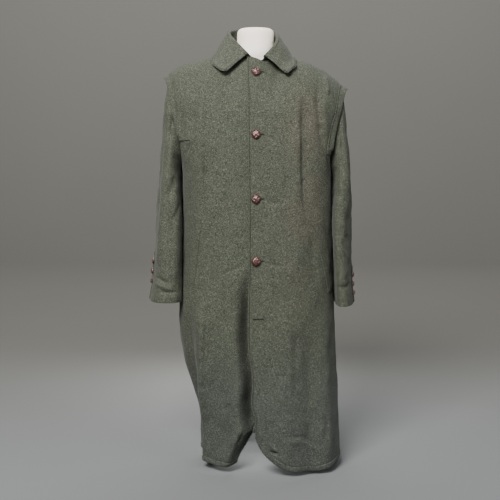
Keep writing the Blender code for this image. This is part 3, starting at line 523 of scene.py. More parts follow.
def spaced(points, count):
    """count + 1 points, evenly apart along a line."""
    return points_at(points, np.linspace(0.0, lengths(points)[-1], count + 1))


def bell(distance, width):
    """1 at no distance, falling off smoothly over a width."""
    return np.exp(-((distance / width) ** 2))


def end_depth(side, face, height):
    """Depth where a row stops: at the side seam, or at the armhole and the cap's edge above it."""
    rows = ARM_EDGES[side]
    heights = column(rows, ARM_COLUMNS, "height")
    return float(follow(heights, column(rows, ARM_COLUMNS, face + "_depth"), height))


def face_line(face, height):
    """The front or back of the body at one level, from the right end to the left."""
    middle = float(section("middle", height))
    depth = float(section(face, height)) - SIDE_DEPTH
    square = float(section("square", height))
    halves = []
    for side in ("right", "left"):
        share = (end_depth(side, face, height) - SIDE_DEPTH) / depth
        turn = math.acos(max(share, 0.0) ** (square / 2))
        angles = np.linspace(0.0, turn, 160)
        x = middle + (float(section(side, height)) - middle) * np.sin(angles) ** (2 / square)
        y = SIDE_DEPTH + depth * np.cos(angles) ** (2 / square)
        halves.append(spaced(np.column_stack([x, y, np.full(160, height)]), HALF_SAMPLES))
    return np.concatenate([halves[0][::-1], halves[1][1:]])


def top_line(face):
    """The shoulder seams and the neckline between them, from the right cap's tip to the left one's."""
    halves = []
    for side in ("right", "left"):
        rows = SHOULDERS[side]
        flip = -1 if side == "right" else 1
        across = np.linspace(rows[0][0], rows[-1][0], 60)
        heights = follow(
            flip * column(rows, SHOULDER_COLUMNS, "across"),
            column(rows, SHOULDER_COLUMNS, "height"),
            flip * across,
        )
        seam = np.column_stack([across, np.zeros(60), heights])
        angles = np.linspace(0.0, 90.0, 50)
        table = NECKLINE[face]
        neck_heights = follow(
            column(table, NECKLINE_COLUMNS, "angle"),
            column(table, NECKLINE_COLUMNS, "height"),
            flip * angles,
        )
        turn = np.radians(angles)
        neck = np.column_stack([rows[0][0] * np.sin(turn), NECK_DEPTHS[face] * np.cos(turn), neck_heights])
        halves.append(spaced(np.concatenate([neck, seam[1:]]), HALF_SAMPLES))
    return np.concatenate([halves[0][::-1], halves[1][1:]])


def normals_of(grid, closed=False):
    """Outward unit normals of a grid of points, rows upwards and columns from right to left."""
    along = np.gradient(grid, axis=1)
    if closed:
        wide = np.concatenate([grid[:, -2:-1], grid, grid[:, 1:2]], axis=1)
        along = (wide[:, 2:] - wide[:, :-2]) / 2
    up = np.gradient(grid, axis=0)
    normal = np.cross(along, up)
    return normal / np.linalg.norm(normal, axis=2, keepdims=True)


def fold_rise(rows, names, first, second):
    """Height of all folds of a table at places given by two coordinates; folds run down the second."""
    total = np.zeros_like(first)
    place = dict(zip(names, range(len(names))))
    for row in rows:
        start, end = row[place[names[1]]], row[place[names[3]]]
        share = np.clip((second - start) / (end - start), 0.0, 1.0)
        centre = row[0] + (row[2] - row[0]) * share
        span = abs(end - start)
        fade = min(FOLD_FADE, 0.45 * span) if span < 3 else FOLD_FADE
        inside = smooth_step((second - start) / math.copysign(fade, end - start))
        inside = inside * smooth_step((end - second) / math.copysign(fade, end - start))
        total += row[4] * inside * bell(first - centre, row[5])
    return total


def hem_lift(across, face, from_edge, side):
    """How far the hem rises above its lowest level, more at the rounded front corners."""
    lift = np.interp(across, [p[0] for p in HEM_TILT], [p[1] for p in HEM_TILT])
    if face == "back":
        from_seam = np.minimum(across - across.min(), across.max() - across)
        return lift + BACK_HEM_RISE * smooth_step(from_seam / BACK_HEM_REACH)
    rise, reach, roundness = CORNERS[side]
    share = 1 - np.clip(from_edge / reach, 0.0, 1.0)
    return lift + rise * (1 - (1 - share**roundness) ** (1 / roundness))


def facing(grid, face):
    return normals_of(grid) if face == "front" else -normals_of(grid)


def tidy_seams(grid, normal, face, ends):
    """Normals square to the seams, and half a gap between the panels that meet there."""
    away = -1 if face == "front" else 1
    for end in ends:
        side_rows = grid[:, end, 2] < ARM_LEVEL - 0.001
        normal[side_rows, end, 1] = 0.0
        grid[:, end, 1] += away * SEAM_GAP
    sewn = np.abs(grid[-1, :, 1]) < 0.004
    normal[-1, :, 1] *= ~sewn
    grid[-1, :, 1] += away * SEAM_GAP * sewn
    normal /= np.linalg.norm(normal, axis=2, keepdims=True)


def sleeve_normals(grid, side):
    normal = normals_of(grid, closed=True)
    normal[:, -1] = normal[:, 0]
    return normal if side == "left" else -normal


def column_shares(even, pinch, side):
    """Places of a row's columns, 0 to 1, from places counted from the opening to the armhole."""
    if side == "right":
        return 1 - column_shares(even, pinch, "left")[::-1]
    if not side:
        half = column_shares(even, pinch, "left")
        return np.concatenate([(1 - half[::-1]) / 2, 0.5 + half[1:] / 2])
    return (even - (1 - pinch) * smooth_step((even - PINCH_START) / (1 - PINCH_START))) / pinch


def column_places(full, opening):
    """Places of columns from the opening, or the middle of the back, to the armhole, closer at sewing."""
    near = np.array([0, 0.8, 2.0, 3.6, 5.0, 6.2, 7.1, 8.0, 8.9, 9.9, 11.5, 14.0, 17.5]) / 1000
    if not opening:
        near = np.array([0.0, 0.0043])
    far = [30, 27.5, 26.2, 25.2, 24.4, 23.4, 21.5, 19.6, 18.7, 17.9, 16.9, 15.5, 13, 10, 6.5, 3.5, 1.5, 0]
    far = np.array(far) / 1000
    count = int((full - far[0] - near[-1]) / (CLOTH_STEP if opening else BACK_STEP))
    between = np.linspace(near[-1], full - far[0], count + 1)[1:-1]
    return np.concatenate([near, between, full - far]) / full


def row_levels(side):
    """Heights of the level rows, closer at the hem's sewing and at the bar under the cap."""
    hem = np.array([0, 0.9, 2.2, 4.5, 7.5, 10.5, 13.0, 14.7, 15.7, 16.6, 17.5, 18.5, 20.2, 23.0]) / 1000
    bars = []
    for name, bar in CAP_BARS.items():
        if side in ("", name):
            low, high = min(bar[0][1], bar[1][1]), max(bar[0][1], bar[1][1])
            bars.append(np.arange(low - 0.004, high + 0.005, 0.0009))
    bars = sorted(bars, key=lambda bar: bar[0])
    pieces = [hem + HEM_HEIGHT]
    for bar in bars + [np.array([SHOULDER_LEVEL])]:
        start = pieces[-1][-1]
        count = max(2, int((bar[0] - start) / CLOTH_STEP))
        pieces.append(np.linspace(start, bar[0], count + 1)[1:-1])
        pieces.append(bar)
    return np.concatenate(pieces)


def face_rows(face, levels):
    """Every full row of the front or the back; the last ones turn over towards the shoulder seams."""
    rows = [face_line(face, height) for height in levels]
    level, top = rows[-1], top_line(face)
    from_middle = np.abs(np.linspace(-1.0, 1.0, 2 * HALF_SAMPLES + 1))
    neck_share = 1 - smooth_step((from_middle - 0.16) / 0.34)
    for step in range(1, TURN_ROWS + 1):
        t = step / TURN_ROWS
        sine = math.sin(t * math.pi / 2)
        cosine = math.cos(t * math.pi / 2)
        across = level[:, 0] + (top[:, 0] - level[:, 0]) * t
        round_depth = top[:, 1] + (level[:, 1] - top[:, 1]) * cosine
        round_height = level[:, 2] + (top[:, 2] - level[:, 2]) * sine
        flat_depth = level[:, 1] + (top[:, 1] - level[:, 1]) * t**1.7
        flat_height = level[:, 2] + (top[:, 2] - level[:, 2]) * t
        depth = round_depth + (flat_depth - round_depth) * neck_share
        height = round_height + (flat_height - round_height) * neck_share
        rows.append(np.column_stack([across, depth, height]))
    return rows


def cut_row(row, low, high, shares):
    """Points of a row between two X values, each with its girth from X = 0; None keeps an end."""
    run = lengths(row)
    start = 0.0 if low is None else np.interp(low, row[:, 0], run)
    end = run[-1] if high is None else np.interp(high, row[:, 0], run)
    at = start + (end - start) * shares
    return points_at(row, at, run), at - np.interp(0.0, row[:, 0], run)


def crease_rise(table, first, second):
    """Height of listed creases at places given by two coordinates, tapering off at both ends."""
    total = np.zeros_like(first)
    for rise, width, points in table:
        points = np.array(points, float)
        run = lengths(points)
        nearest = np.full(first.shape, 9.0)
        along = np.zeros_like(first)
        for index in range(len(points) - 1):
            start, way = points[index], points[index + 1] - points[index]
            share = ((first - start[0]) * way[0] + (second - start[1]) * way[1]) / (way @ way)
            share = np.clip(share, 0, 1)
            gap = np.hypot(first - start[0] - way[0] * share, second - start[1] - way[1] * share)
            closer = gap < nearest
            nearest = np.where(closer, gap, nearest)
            along = np.where(closer, run[index] + share * math.sqrt(way @ way), along)
        fade = CREASE_TAPER * run[-1]
        taper = smooth_step(along / fade) * smooth_step((run[-1] - along) / fade)
        uneven = 0.86 + 0.14 * np.sin(along * 170 + width * 900)
        total += rise * taper * uneven * bell(nearest, width)
    return total


def ripple_rise(first, second):
    waves = (high * np.sin(across * first + up * second + phase) for high, across, up, phase in RIPPLES)
    return RIPPLE_GAIN * sum(waves)


def rim_distance(grid, rim):
    """How far each point of a grid is from a rim of points, and the height of the nearest rim point."""
    length = lengths(rim)[-1]
    dense = points_at(rim, np.linspace(0, length, int(length / 0.0007) + 2))
    tree = KDTree(len(dense))
    for index, point in enumerate(dense):
        tree.insert(point, index)
    tree.balance()
    flat = grid.reshape(-1, 3)
    found = [tree.find(point) for point in flat]
    away = np.array([item[2] for item in found]).reshape(grid.shape[:2])
    height = np.array([item[0][2] for item in found]).reshape(grid.shape[:2])
    return away, height


def sewn_edge(away, inset):
    """Rise of cloth near a sewn edge: a soft puff out to the row of stitches and a groove under them."""
    narrow = np.clip((NARROW_FROM - inset) / NARROW_OVER, 0.0, 1.0)
    puff = (SEWN_PUFF + SEWN_PUFF_NARROW * narrow) * np.sin(np.pi * np.clip(away / inset, 0, 1)) ** 0.8
    groove = (SEWN_GROOVE + SEWN_GROOVE_NARROW * narrow) * bell(away - inset, SEWN_GROOVE_WIDTH)
    return puff - groove - RIM_ROUNDING * bell(away, RIM_ROUNDING_WIDTH)


def stitch_inset(height, side):
    """Distance of a front's sewing from the rim: wide at the hem, narrow up the front edge."""
    narrowed = smooth_step((height - HEM_STITCH_TOP) / HEM_STITCH_FADE[side])
    return HEM_STITCH + (OPENING_STITCH - HEM_STITCH) * narrowed


def panel_rows(face, side):
    """Points of a panel before its folds, and the girth of each from X = 0."""
    rows = face_rows(face, row_levels(side))
    even = column_places(SEAM_GIRTH, bool(side))
    points = []
    girths = []
    for index, row in enumerate(rows):
        height = row[HALF_SAMPLES, 2]
        low = float(edge("left_edge", height)) if side == "left" else None
        high = float(edge("right_edge", height)) if side == "right" else None
        turned = max(0, index - (len(rows) - 1 - TURN_ROWS)) / TURN_ROWS
        depth = end_depth(side or "left", face, height)
        pinch = 1 - abs(depth - SIDE_DEPTH) * (1 - turned) / SEAM_GIRTH
        line, girth = cut_row(row, low, high, column_shares(even, pinch, side))
        points.append(line)
        girths.append(girth)
    return np.array(points), np.array(girths)


def lay_under(grid, face):
    """Drops the right front under the left one and draws it back into the recess beside the overlap."""
    under = smooth_step((grid[:, :, 0] - UNDERLAP_START) / UNDERLAP_FADE)
    full = np.minimum(edge("left_edge", grid[:, :, 2]), edge("right_edge", grid[:, :, 2])) + 0.004
    near = smooth_step((grid[:, :, 0] - full + RECESS_WIDTH) / RECESS_WIDTH)
    recess = RECESS_DEEPER * np.maximum(edge("recess", grid[:, :, 2]), 0.0)
    grid -= facing(grid, face) * (UNDERLAP_DROP * under)[:, :, None]
    grid[:, :, 1] += recess * near


def cap_rise(side, grid, rim):
    """Rise of a shoulder cap: its flared rim, two grooves of sewing and the ridge between them."""
    bar = CAP_BARS[side]
    floor = bar[0][1] if side == "left" else bar[1][1]
    away, _ = rim_distance(grid, rim)
    shown = smooth_step((grid[:, :, 2] - floor - 0.004) / 0.012)
    lines = -sum(CAP_GROOVE * bell(away - inset, CAP_GROOVE_WIDTH) for inset in CAP_STITCHES)
    ridge = CAP_RIDGE * bell(away - sum(CAP_STITCHES) / 2, CAP_RIDGE_WIDTH)
    flare = CAP_FLARE * bell(away, CAP_FLARE_WIDTH)
    return shown * (lines + ridge + flare) - RIM_ROUNDING * bell(away, RIM_ROUNDING_WIDTH)


def panel_sheet(name):
    """Outer points, outward normals and rims of a panel: front_left, front_right or back."""
    face, _, side = name.partition("_")
    grid, girth = panel_rows(face, side)
    ends = PANEL_ENDS[side]
    from_end = np.full(grid.shape[:2], 9.0)
    for end in ends:
        from_end = np.minimum(from_end, np.abs(girth - girth[:, [end]]))
    rise = FOLD_GAIN * fold_rise(FOLDS[face], FOLD_COLUMNS, girth, grid[:, :, 2])
    grid += facing(grid, face) * (rise * smooth_step(from_end / FOLD_SEAM_FADE))[:, :, None]
    if side == "right":
        lay_under(grid, face)
    lower = np.clip(1 - (grid[:, :, 2] - HEM_HEIGHT) / CORNER_FADE, 0.0, 1.0) ** 2
    own_edge = grid[0, -1 if side == "right" else 0, 0]
    grid[:, :, 2] += lower * hem_lift(grid[0, :, 0], face, np.abs(grid[0, :, 0] - own_edge), side)
    normal = facing(grid, face)
    creases = FRONT_CREASES[side] if side else BACK_CREASES
    small = CREASE_GAIN * crease_rise(creases, grid[:, :, 0], grid[:, :, 2])
    small = (small + ripple_rise(girth, grid[:, :, 2])) * smooth_step(from_end / CREASE_SEAM_FADE)
    seam = bell(from_end, SEAM_GROOVE_WIDTH) * (grid[:, :, 2] < ARM_LEVEL)
    top_away = np.abs(np.arange(len(grid)) - len(grid) + 1)[:, None] * CLOTH_STEP
    shoulder = bell(top_away, SEAM_GROOVE_WIDTH) * (np.abs(grid[:, :, 0] + 0.005) > 0.08)
    grid += normal * (small - SEAM_GROOVE * np.maximum(seam, shoulder))[:, :, None]
    rims = {"front": grid[0]}
    if side == "left":
        rims["front"] = np.concatenate([grid[0, ::-1], grid[1:, 0]])
    elif side == "right":
        rims["front"] = np.concatenate([grid[0], grid[1:, -1]])
    away, height = rim_distance(grid, rims["front"])
    added = sewn_edge(away, stitch_inset(height, side) if side else np.full(away.shape, HEM_STITCH))
    if side == "left":
        raised = smooth_step((grid[:, :, 2] - EDGE_LIFT_START) / EDGE_LIFT_FADE)
        added += EDGE_LIFT * raised * bell(away, EDGE_LIFT_WIDTH)
    cap_rows = grid[:, ends[0], 2] > ARM_LEVEL + 0.012
    for index, end in enumerate(ends):
        own = side or ("right", "left")[index]
        rims["cap_" + own] = grid[cap_rows][:, end]
        added += cap_rise(own, grid, rims["cap_" + own])
        if side:
            added += cap_bar_rise(own, grid)
    grid += normal * added[:, :, None]
    normal = facing(grid, face)
    tidy_seams(grid, normal, face, ends)
    return grid, normal, rims, girth


def cap_bar_rise(side, grid):
    """The cap's foot stands proud of the cloth under it along a short bar."""
    (x0, z0), (x1, z1) = CAP_BARS[side]
    over = (x1 - grid[:, :, 0]) if side == "right" else (grid[:, :, 0] - x0)
    above = grid[:, :, 2] - z0 - (z1 - z0) * (grid[:, :, 0] - x0) / (x1 - x0)
    high = 0.0016 * smooth_step(above / 0.0008) * (1 - smooth_step(above / 0.05))
    low = -0.0014 * smooth_step(-above / 0.0008) * (1 - smooth_step(-above / 0.04))
    return smooth_step(over / 0.010) * (high + low)


def sleeve_sheet(side, body):
    """Fine rings of a sleeve from its head down to the cuff, clear of the body."""
    rows = SLEEVES[side]
    place = np.linspace(0, 1, len(rows))
    at = 1 - np.concatenate([[0, 0.0012, 0.003, 0.006], np.linspace(0.010, 1, SLEEVE_ROWS - 3)])[::-1]
    get = {name: follow(place, column(rows, SLEEVE_COLUMNS, name), at) for name in SLEEVE_COLUMNS}
    dense = np.linspace(0, 2 * math.pi, 481)
    power = 2 / SLEEVE_SQUARE
    cosine = np.sign(np.cos(dense)) * np.abs(np.cos(dense)) ** power
    sine = np.sign(np.sin(dense)) * np.abs(np.sin(dense)) ** power
    grid = []
    for row in range(len(at)):
        outer = np.array([get["outer"][row], get["outer_height"][row]])
        inner = np.array([get["inner"][row], get["inner_height"][row]])
        half = (outer - inner) / 2
        middle_depth = (get["front"][row] + get["back"][row]) / 2
        half_depth = (get["back"][row] - get["front"][row]) / 2
        centre = (outer + inner) / 2
        lean = SLEEVE_LEAN * float(smooth_step((at[row] - 0.30) / 0.40)) * math.copysign(1, half[0])
        ring = np.column_stack([
            centre[0] + half[0] * cosine - lean * half_depth * sine,
            middle_depth - half_depth * sine,
            centre[1] + half[1] * cosine,
        ])
        grid.append(spaced(ring, SLEEVE_AROUND))
    grid = np.array(grid)
    normal = sleeve_normals(grid, side)
    angle = np.broadcast_to(np.linspace(0, 360, SLEEVE_AROUND + 1), grid.shape[:2])
    share = np.broadcast_to(at[:, None], grid.shape[:2])
    rise = fold_rise(SLEEVE_FOLDS[side], SLEEVE_FOLD_COLUMNS, angle, share)
    grid = grid + normal * rise[:, :, None]
    reach = SLEEVE_GIRTH / 360  # metres round the sleeve for each degree
    creases = [
        (rise, width, [(turn * reach, down * SLEEVE_LENGTH) for turn, down in points])
        for rise, width, points in SLEEVE_CREASES[side]
    ]
    small = CREASE_GAIN * crease_rise(creases, angle * reach, share * SLEEVE_LENGTH)
    ripple = ripple_rise(np.sin(np.radians(angle)) * 0.06, grid[:, :, 2] * 1.6)
    cuff = (1 - share) * SLEEVE_LENGTH
    turned = 0.0006 * bell(cuff - 0.012, 0.010) - RIM_ROUNDING * bell(cuff, RIM_ROUNDING_WIDTH)
    back_seam = SEAM_GROOVE * bell(((angle + 180) % 360 - SLEEVE_SEAM_ANGLE) * reach, SEAM_GROOVE_WIDTH)
    grid = grid + sleeve_normals(grid, side) * (small + ripple + turned - back_seam)[:, :, None]
    centres = grid[:, :-1].mean(axis=1)
    ways = grid - centres[:, None]
    reach_out = np.linalg.norm(ways, axis=2)
    ways = ways / reach_out[:, :, None]
    room = np.full(reach_out.shape, 9.0)
    for row, ring in enumerate(ways):
        for col, way in enumerate(ring):
            place, _, _, found = body.ray_cast(Vector(centres[row]), Vector(way))
            if place is not None:
                room[row, col] = found
    towards = bell(angle - ARMPIT_ANGLE, ARMPIT_WIDTH) * smooth_step((share - 0.16) / 0.10)
    closing = np.clip(room - CLOSING_GAP - reach_out, 0.0, CLOSING_MOST) * (room - reach_out < CLOSING_MOST)
    reach_out = reach_out + spread(closing * towards, 4, blend=True)
    clear = SLEEVE_CLEARANCE + HEAD_CLEARANCE * (1 - smooth_step((share - 0.20) / 0.12))
    pressed = np.maximum(reach_out - (room - clear), 0.0)
    reach_out = reach_out - spread(pressed, 5)
    grid = centres[:, None] + ways * reach_out[:, :, None]
    grid[:, -1] = grid[:, 0]
    return grid, sleeve_normals(grid, side)


def spread(values, passes, blend=False):
    """Values eased out over their neighbours round a ring; unless blended they never drop."""
    eased = values.copy()
    for _ in range(passes):
        wide = np.concatenate([eased[:, -2:-1], eased, eased[:, 1:2]], axis=1)
        eased = (wide[:, :-2] + 2 * wide[:, 1:-1] + wide[:, 2:]) / 4
        tall = np.concatenate([eased[:1], eased, eased[-1:]], axis=0)
        eased = (tall[:-2] + 2 * tall[1:-1] + tall[2:]) / 4
        if not blend:
            eased = np.maximum(eased, values)
    return eased


def collar_line(points, stations):
    """A smooth line through the collar's points, at shares of its length."""
    points = np.array(points)
    run = lengths(points)
    dense = np.linspace(0, run[-1], 900)
    line = np.stack([follow(run, points[:, axis], dense) for axis in range(3)], axis=1)
    return points_at(line, stations * lengths(line)[-1])


def collar_sheet(lie_on):
    """Fine points of the collar: up the stand, over the roll and down the fall, its corners rounded."""
    close = np.array([0, 0.2, 0.5, 0.9, 1.4, 2.0, 2.7, 3.5, 4.4]) / 100
    stations = np.concatenate([close, np.linspace(0.052, 0.948, 118), 1 - close[::-1]])
    base = collar_line(COLLAR_BASE, stations)
    roll = collar_line(COLLAR_ROLL, stations)
    outer = collar_line(COLLAR_OUTER, stations)
    run = lengths(outer)
    low_edge = [0.83, 0.86, 0.885, 0.91, 0.93, 0.95, 0.965, 0.98, 0.99, 1.0]
    fall = np.concatenate([np.linspace(0.03, 0.80, 22), low_edge])
    shares = np.linspace(0.0, 1.0, 34)
    stands = []
    falls = []
    pushes = []
    for index, (low, top, rim) in enumerate(zip(base, roll, outer)):
        away = rim - top
        away[2] = 0.0
        away /= np.linalg.norm(away)
        tuck = low - away * 0.0065 - np.array([0.0, 0.0, 0.0065])
        stand = [tuck, tuck * 0.35 + (low - away * 0.0035) * 0.65]
        stand += [low + (top - low) * step / 9 for step in range(2, 9)]
        for step in range(9):
            turn = math.pi * step / 8
            out = -math.cos(turn) * COLLAR_ROLL_RADIUS
            stand.append(top + away * out + np.array([0.0, 0.0, math.sin(turn) * COLLAR_ROLL_RADIUS * 0.8]))
        stands.append(stand)
        outer_top = top + away * COLLAR_ROLL_RADIUS
        from_end = min(run[index], run[-1] - run[index])
        stand_off = COLLAR_STAND_OFF * bell(from_end, COLLAR_STAND_OFF_REACH)
        line = []
        moved = []
        for share in shares:
            bow = away * (0.004 * math.sin(math.pi * share))
            line.append(outer_top + (rim - outer_top) * share + bow)
            moved.append(lie_on(line[-1], WALL + COLLAR_LIFT + stand_off * share**0.8))
        falls.append(line)
        pushes.append(np.array(moved) - np.array(line))
    falls, pushes = np.array(falls), np.array(pushes)
    for _ in range(10):
        tall = np.concatenate([2 * pushes[:1] - pushes[1:2], pushes, 2 * pushes[-1:] - pushes[-2:-1]])
        pushes = (tall[:-2] + 2 * tall[1:-1] + tall[2:]) / 4
        wide = np.concatenate([pushes[:, :1], pushes, 2 * pushes[:, -1:] - pushes[:, -2:-1]], axis=1)
        pushes = (wide[:, :-2] + 2 * wide[:, 1:-1] + wide[:, 2:]) / 4
    falls = falls + pushes
    columns = []
    for index, (stand, line) in enumerate(zip(stands, falls)):
        from_end = min(run[index], run[-1] - run[index])
        corner = COLLAR_CORNERS[0 if run[index] < run[-1] / 2 else 1]
        short = corner - math.sqrt(corner**2 - max(corner - from_end, 0.0) ** 2)
        at = fall * (1 - short / lengths(line)[-1])
        columns.append(stand + list(points_at(line, at, shares)))
    grid = np.array(columns).transpose(1, 0, 2)
    normal = -normals_of(grid)
    fall_part = grid[COLLAR_FALL_START:]
    rim = np.concatenate([fall_part[:, 0], fall_part[-1, 1:], fall_part[::-1, -1][1:]])
    away, _ = rim_distance(grid, rim)
    added = sewn_edge(away, COLLAR_STITCH) + 0.5 * ripple_rise(grid[:, :, 0] * 1.5, grid[:, :, 2] * 1.5)
    added[:COLLAR_FALL_START] = 0.0
    grid = grid + normal * added[:, :, None]
    return grid, -normals_of(grid), rim


def grid_faces(index):
    """Four-sided faces between the neighbours of a grid of vertex numbers."""
    return np.stack([index[:-1, :-1], index[:-1, 1:], index[1:, 1:], index[1:, :-1]], axis=2).reshape(-1, 4)


def cloth_wall(name, grid, normal, ring=False, thickness=WALL, bulge=RIM_BULGE, finish="loden"):
    """A sheet of cloth with its thickness and rounded rims, over a grid of outer points."""
    if ring:
        grid, normal = grid[:, :-1], normal[:, :-1]
    high, wide = grid.shape[:2]
    inner = grid - normal * (thickness if np.isscalar(thickness) else thickness[:, :, None])
    count = high * wide
    vertices = [grid.reshape(-1, 3), inner.reshape(-1, 3)]
    index = np.arange(count).reshape(high, wide)
    if ring:
        index = np.concatenate([index, index[:, :1]], axis=1)
    quads = grid_faces(index)
    faces = [quads, quads[:, ::-1] + count]
    if ring:
        loops = [(index[0], grid[0] - grid[1]), (index[-1], grid[-1] - grid[-2])]
    else:
        around = np.concatenate([index[0, :-1], index[:-1, -1], index[-1, :0:-1], index[:0:-1, 0]])
        out = np.zeros((high, wide, 3))
        out[0] += grid[0] - grid[1]
        out[-1] += grid[-1] - grid[-2]
        out[:, 0] += grid[:, 0] - grid[:, 1]
        out[:, -1] += grid[:, -1] - grid[:, -2]
        loops = [(np.append(around, around[0]), out.reshape(-1, 3)[around])]
    start = 2 * count
    flat_outer, flat_inner = grid.reshape(-1, 3), inner.reshape(-1, 3)
    for loop, out in loops:
        real = loop[:-1]
        out = out / np.maximum(np.linalg.norm(out, axis=1, keepdims=True), 1e-9)
        bulges = bulge if np.isscalar(bulge) else bulge.reshape(-1)[real][:, None]
        middle = (flat_outer[real] + flat_inner[real]) / 2 + out[:len(real)] * bulges
        vertices.append(middle)
        mids = np.append(np.arange(start, start + len(real)), start)
        start += len(real)
        faces.append(np.stack([loop[:-1], mids[:-1], mids[1:], loop[1:]], axis=1))
        faces.append(np.stack([mids[:-1], loop[:-1] + count, loop[1:] + count, mids[1:]], axis=1))
    return cloth_object(name, np.concatenate(vertices), np.concatenate(faces), finish)


def add_object(name, mesh, finish):
    """An object in the scene for a mesh, with its finish."""
    thing = bpy.data.objects.new(name, mesh)
    bpy.context.scene.collection.objects.link(thing)
    mesh.materials.append(finishes[finish])
    return thing


def cloth_object(name, points, faces, finish):
    """A mesh object in the part's place, its faces outwards."""
    mesh = bpy.data.meshes.new(name)
    mesh.from_pydata((np.asarray(points) + np.array(CENTRE_SHIFT)).tolist(), [], np.asarray(faces).tolist())
    shape = bmesh.new()
    shape.from_mesh(mesh)
    bmesh.ops.recalc_face_normals(shape, faces=shape.faces)
    shape.to_mesh(mesh)
    shape.free()
    mesh.shade_smooth()
    return add_object(name, mesh, finish)


def wear(piece, slot, *nodes):
    """A finished piece rides with the part and stands for its solids, which are hidden; its slot is not used.
    """
    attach(piece, "root")
    if nodes:
        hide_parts(*nodes)
    return piece


def surface_tree(grids):
    """A search tree of cloth surfaces."""
    vertices = []
    faces = []
    for grid in grids:
        start = len(vertices)
        vertices += grid.reshape(-1, 3).tolist()
        count = grid.shape[0] * grid.shape[1]
        faces += grid_faces(np.arange(start, start + count).reshape(grid.shape[:2])).tolist()
    return BVHTree.FromPolygons(vertices, faces)


def turned_to(normal, way):
    return normal if normal.dot(way) > 0 else -normal


def front_hit(tree, across, height):
    """Where a line from the front meets the cloth, and the cloth's outward normal there."""
    place, aim, _, _ = tree.ray_cast(Vector((across, -0.5, height)), Vector((0, 1, 0)))
    return place, turned_to(aim, Vector((0, -1, 0)))


def stitch_points(rim, inset, tree, middle):
    """Places along a rim, moved in over the cloth by an inset, each with its direction and normal."""
    line = points_at(rim, np.arange(0.004, lengths(rim)[-1] - 0.004, STITCH_PITCH))
    tangent = np.gradient(line, axis=0)
    places = []
    for point, way in zip(line, tangent):
        place, aim, _, _ = tree.find_nearest(Vector(point))
        side = turned_to(aim, place - middle(place)).cross(Vector(way)).normalized()
        distance = inset if np.isscalar(inset) else float(inset(point[2]))
        best = None
        for sign in (1, -1):
            tried, tried_aim, _, gap = tree.find_nearest(Vector(point) + side * sign * distance)
            if best is None or gap < best[2]:
                best = (tried, turned_to(tried_aim, tried - middle(tried)), gap)
        places.append((best[0], best[1]))
    return places


def add_stitches(name, lines):
    """Short raised stitches along lines of places and normals, each slightly pulled in at its ends."""
    vertices = []
    faces = []
    for places in lines:
        for first, second in zip(places[:-1], places[1:]):
            way = second[0] - first[0]
            if way.length > 2.2 * STITCH_PITCH or way.length < 0.3 * STITCH_PITCH:
                continue
            aim = (first[1] + second[1]).normalized()
            side = aim.cross(way).normalized()
            middle = (first[0] + second[0]) / 2
            reach = way * 0.36
            start = len(vertices)
            vertices.append(middle - reach - aim * STITCH_SINK)
            for turn in range(5):
                angle = math.pi * (turn / 4)
                out = side * math.cos(angle) + aim * math.sin(angle)
                vertices.append(middle + out * STITCH_RADIUS)
            vertices.append(middle + reach - aim * STITCH_SINK)
            for turn in range(4):
                faces.append((start, start + 2 + turn, start + 1 + turn))
                faces.append((start + 6, start + 1 + turn, start + 2 + turn))
            faces.append((start, start + 1, start + 5))
            faces.append((start + 6, start + 5, start + 1))
    mesh = bpy.data.meshes.new(name)
    mesh.from_pydata([Vector(point) + CENTRE_SHIFT for point in vertices], [], faces)
    mesh.shade_smooth()
    return wear(add_object(name, mesh, "thread"), "cloth")


def sample(grid, row, col):
    """A point of a grid at fractional rows and columns."""
    row = min(max(row, 0.0), grid.shape[0] - 1.001)
    col = min(max(col, 0.0), grid.shape[1] - 1.001)
    r, c = int(row), int(col)
    u, v = row - r, col - c
    top = grid[r, c] * (1 - v) + grid[r, c + 1] * v
    low = grid[r + 1, c] * (1 - v) + grid[r + 1, c + 1] * v
    return top * (1 - u) + low * u


def on_panel(grid, normal, girths, girth, height):
    """The point and normal of a front panel at a girth from X = 0 and a height."""
    row = float(np.interp(height, grid[:, grid.shape[1] // 2, 2], np.arange(grid.shape[0])))
    line = girths[int(row)]
    col = float(np.interp(girth, line, np.arange(len(line))))
    aim = sample(normal, row, col)
    return sample(grid, row, col), aim / np.linalg.norm(aim)


def add_welt(side, grid, normal, girths):
    """A pocket welt on the front, made from the front's own surface moved out, with its sewing."""
    top_girth, top_height, low_girth, low_height, width = WELTS[side]
    down_steps = [0, 0.004, 0.010, 0.018, *np.linspace(0.03, 0.97, 46), 0.982, 0.990, 0.996, 1]
    over_steps = [0, 0.02, 0.05, 0.09, 0.13, *np.linspace(0.18, 0.82, 10), 0.87, 0.91, 0.95, 0.98, 1]
    outer = np.zeros((len(down_steps), len(over_steps), 3))
    aims = np.zeros_like(outer)
    thick = np.zeros(outer.shape[:2])
    for i, down in enumerate(down_steps):
        for j, over in enumerate(over_steps):
            girth = top_girth + (low_girth - top_girth) * down + width * over
            height = top_height + (low_height - top_height) * down + WELT_TILT * over
            place, aim = on_panel(grid, normal, girths, girth, height)
            near = min(min(over, 1 - over) * abs(width), min(down, 1 - down) * WELT_LENGTH)
            puff = WELT_PUFF * (1 - math.exp(-near / 0.0015) - bell(near - WELT_STITCH, 0.0014))
            outer[i, j] = place + aim * (WALL - WELT_PUFF + puff)
            aims[i, j] = aim
            thick[i, j] = WALL + puff
    piece = cloth_wall(f"pocket_welt_{side}_cloth", outer, aims, thickness=thick, bulge=0.0006)
    wear(piece, "cloth", f"pocket_welt_{side}")
    rim = np.concatenate([outer[0], outer[1:, -1], outer[-1, ::-1][1:], outer[::-1, 0][1:]])
    tree = surface_tree([outer])
    lines = [stitch_points(rim, WELT_STITCH, tree, lambda place: Vector((place.x * 0.5, 0.1, place.z)))]
    add_stitches(f"pocket_stitches_{side}", lines)
    return piece


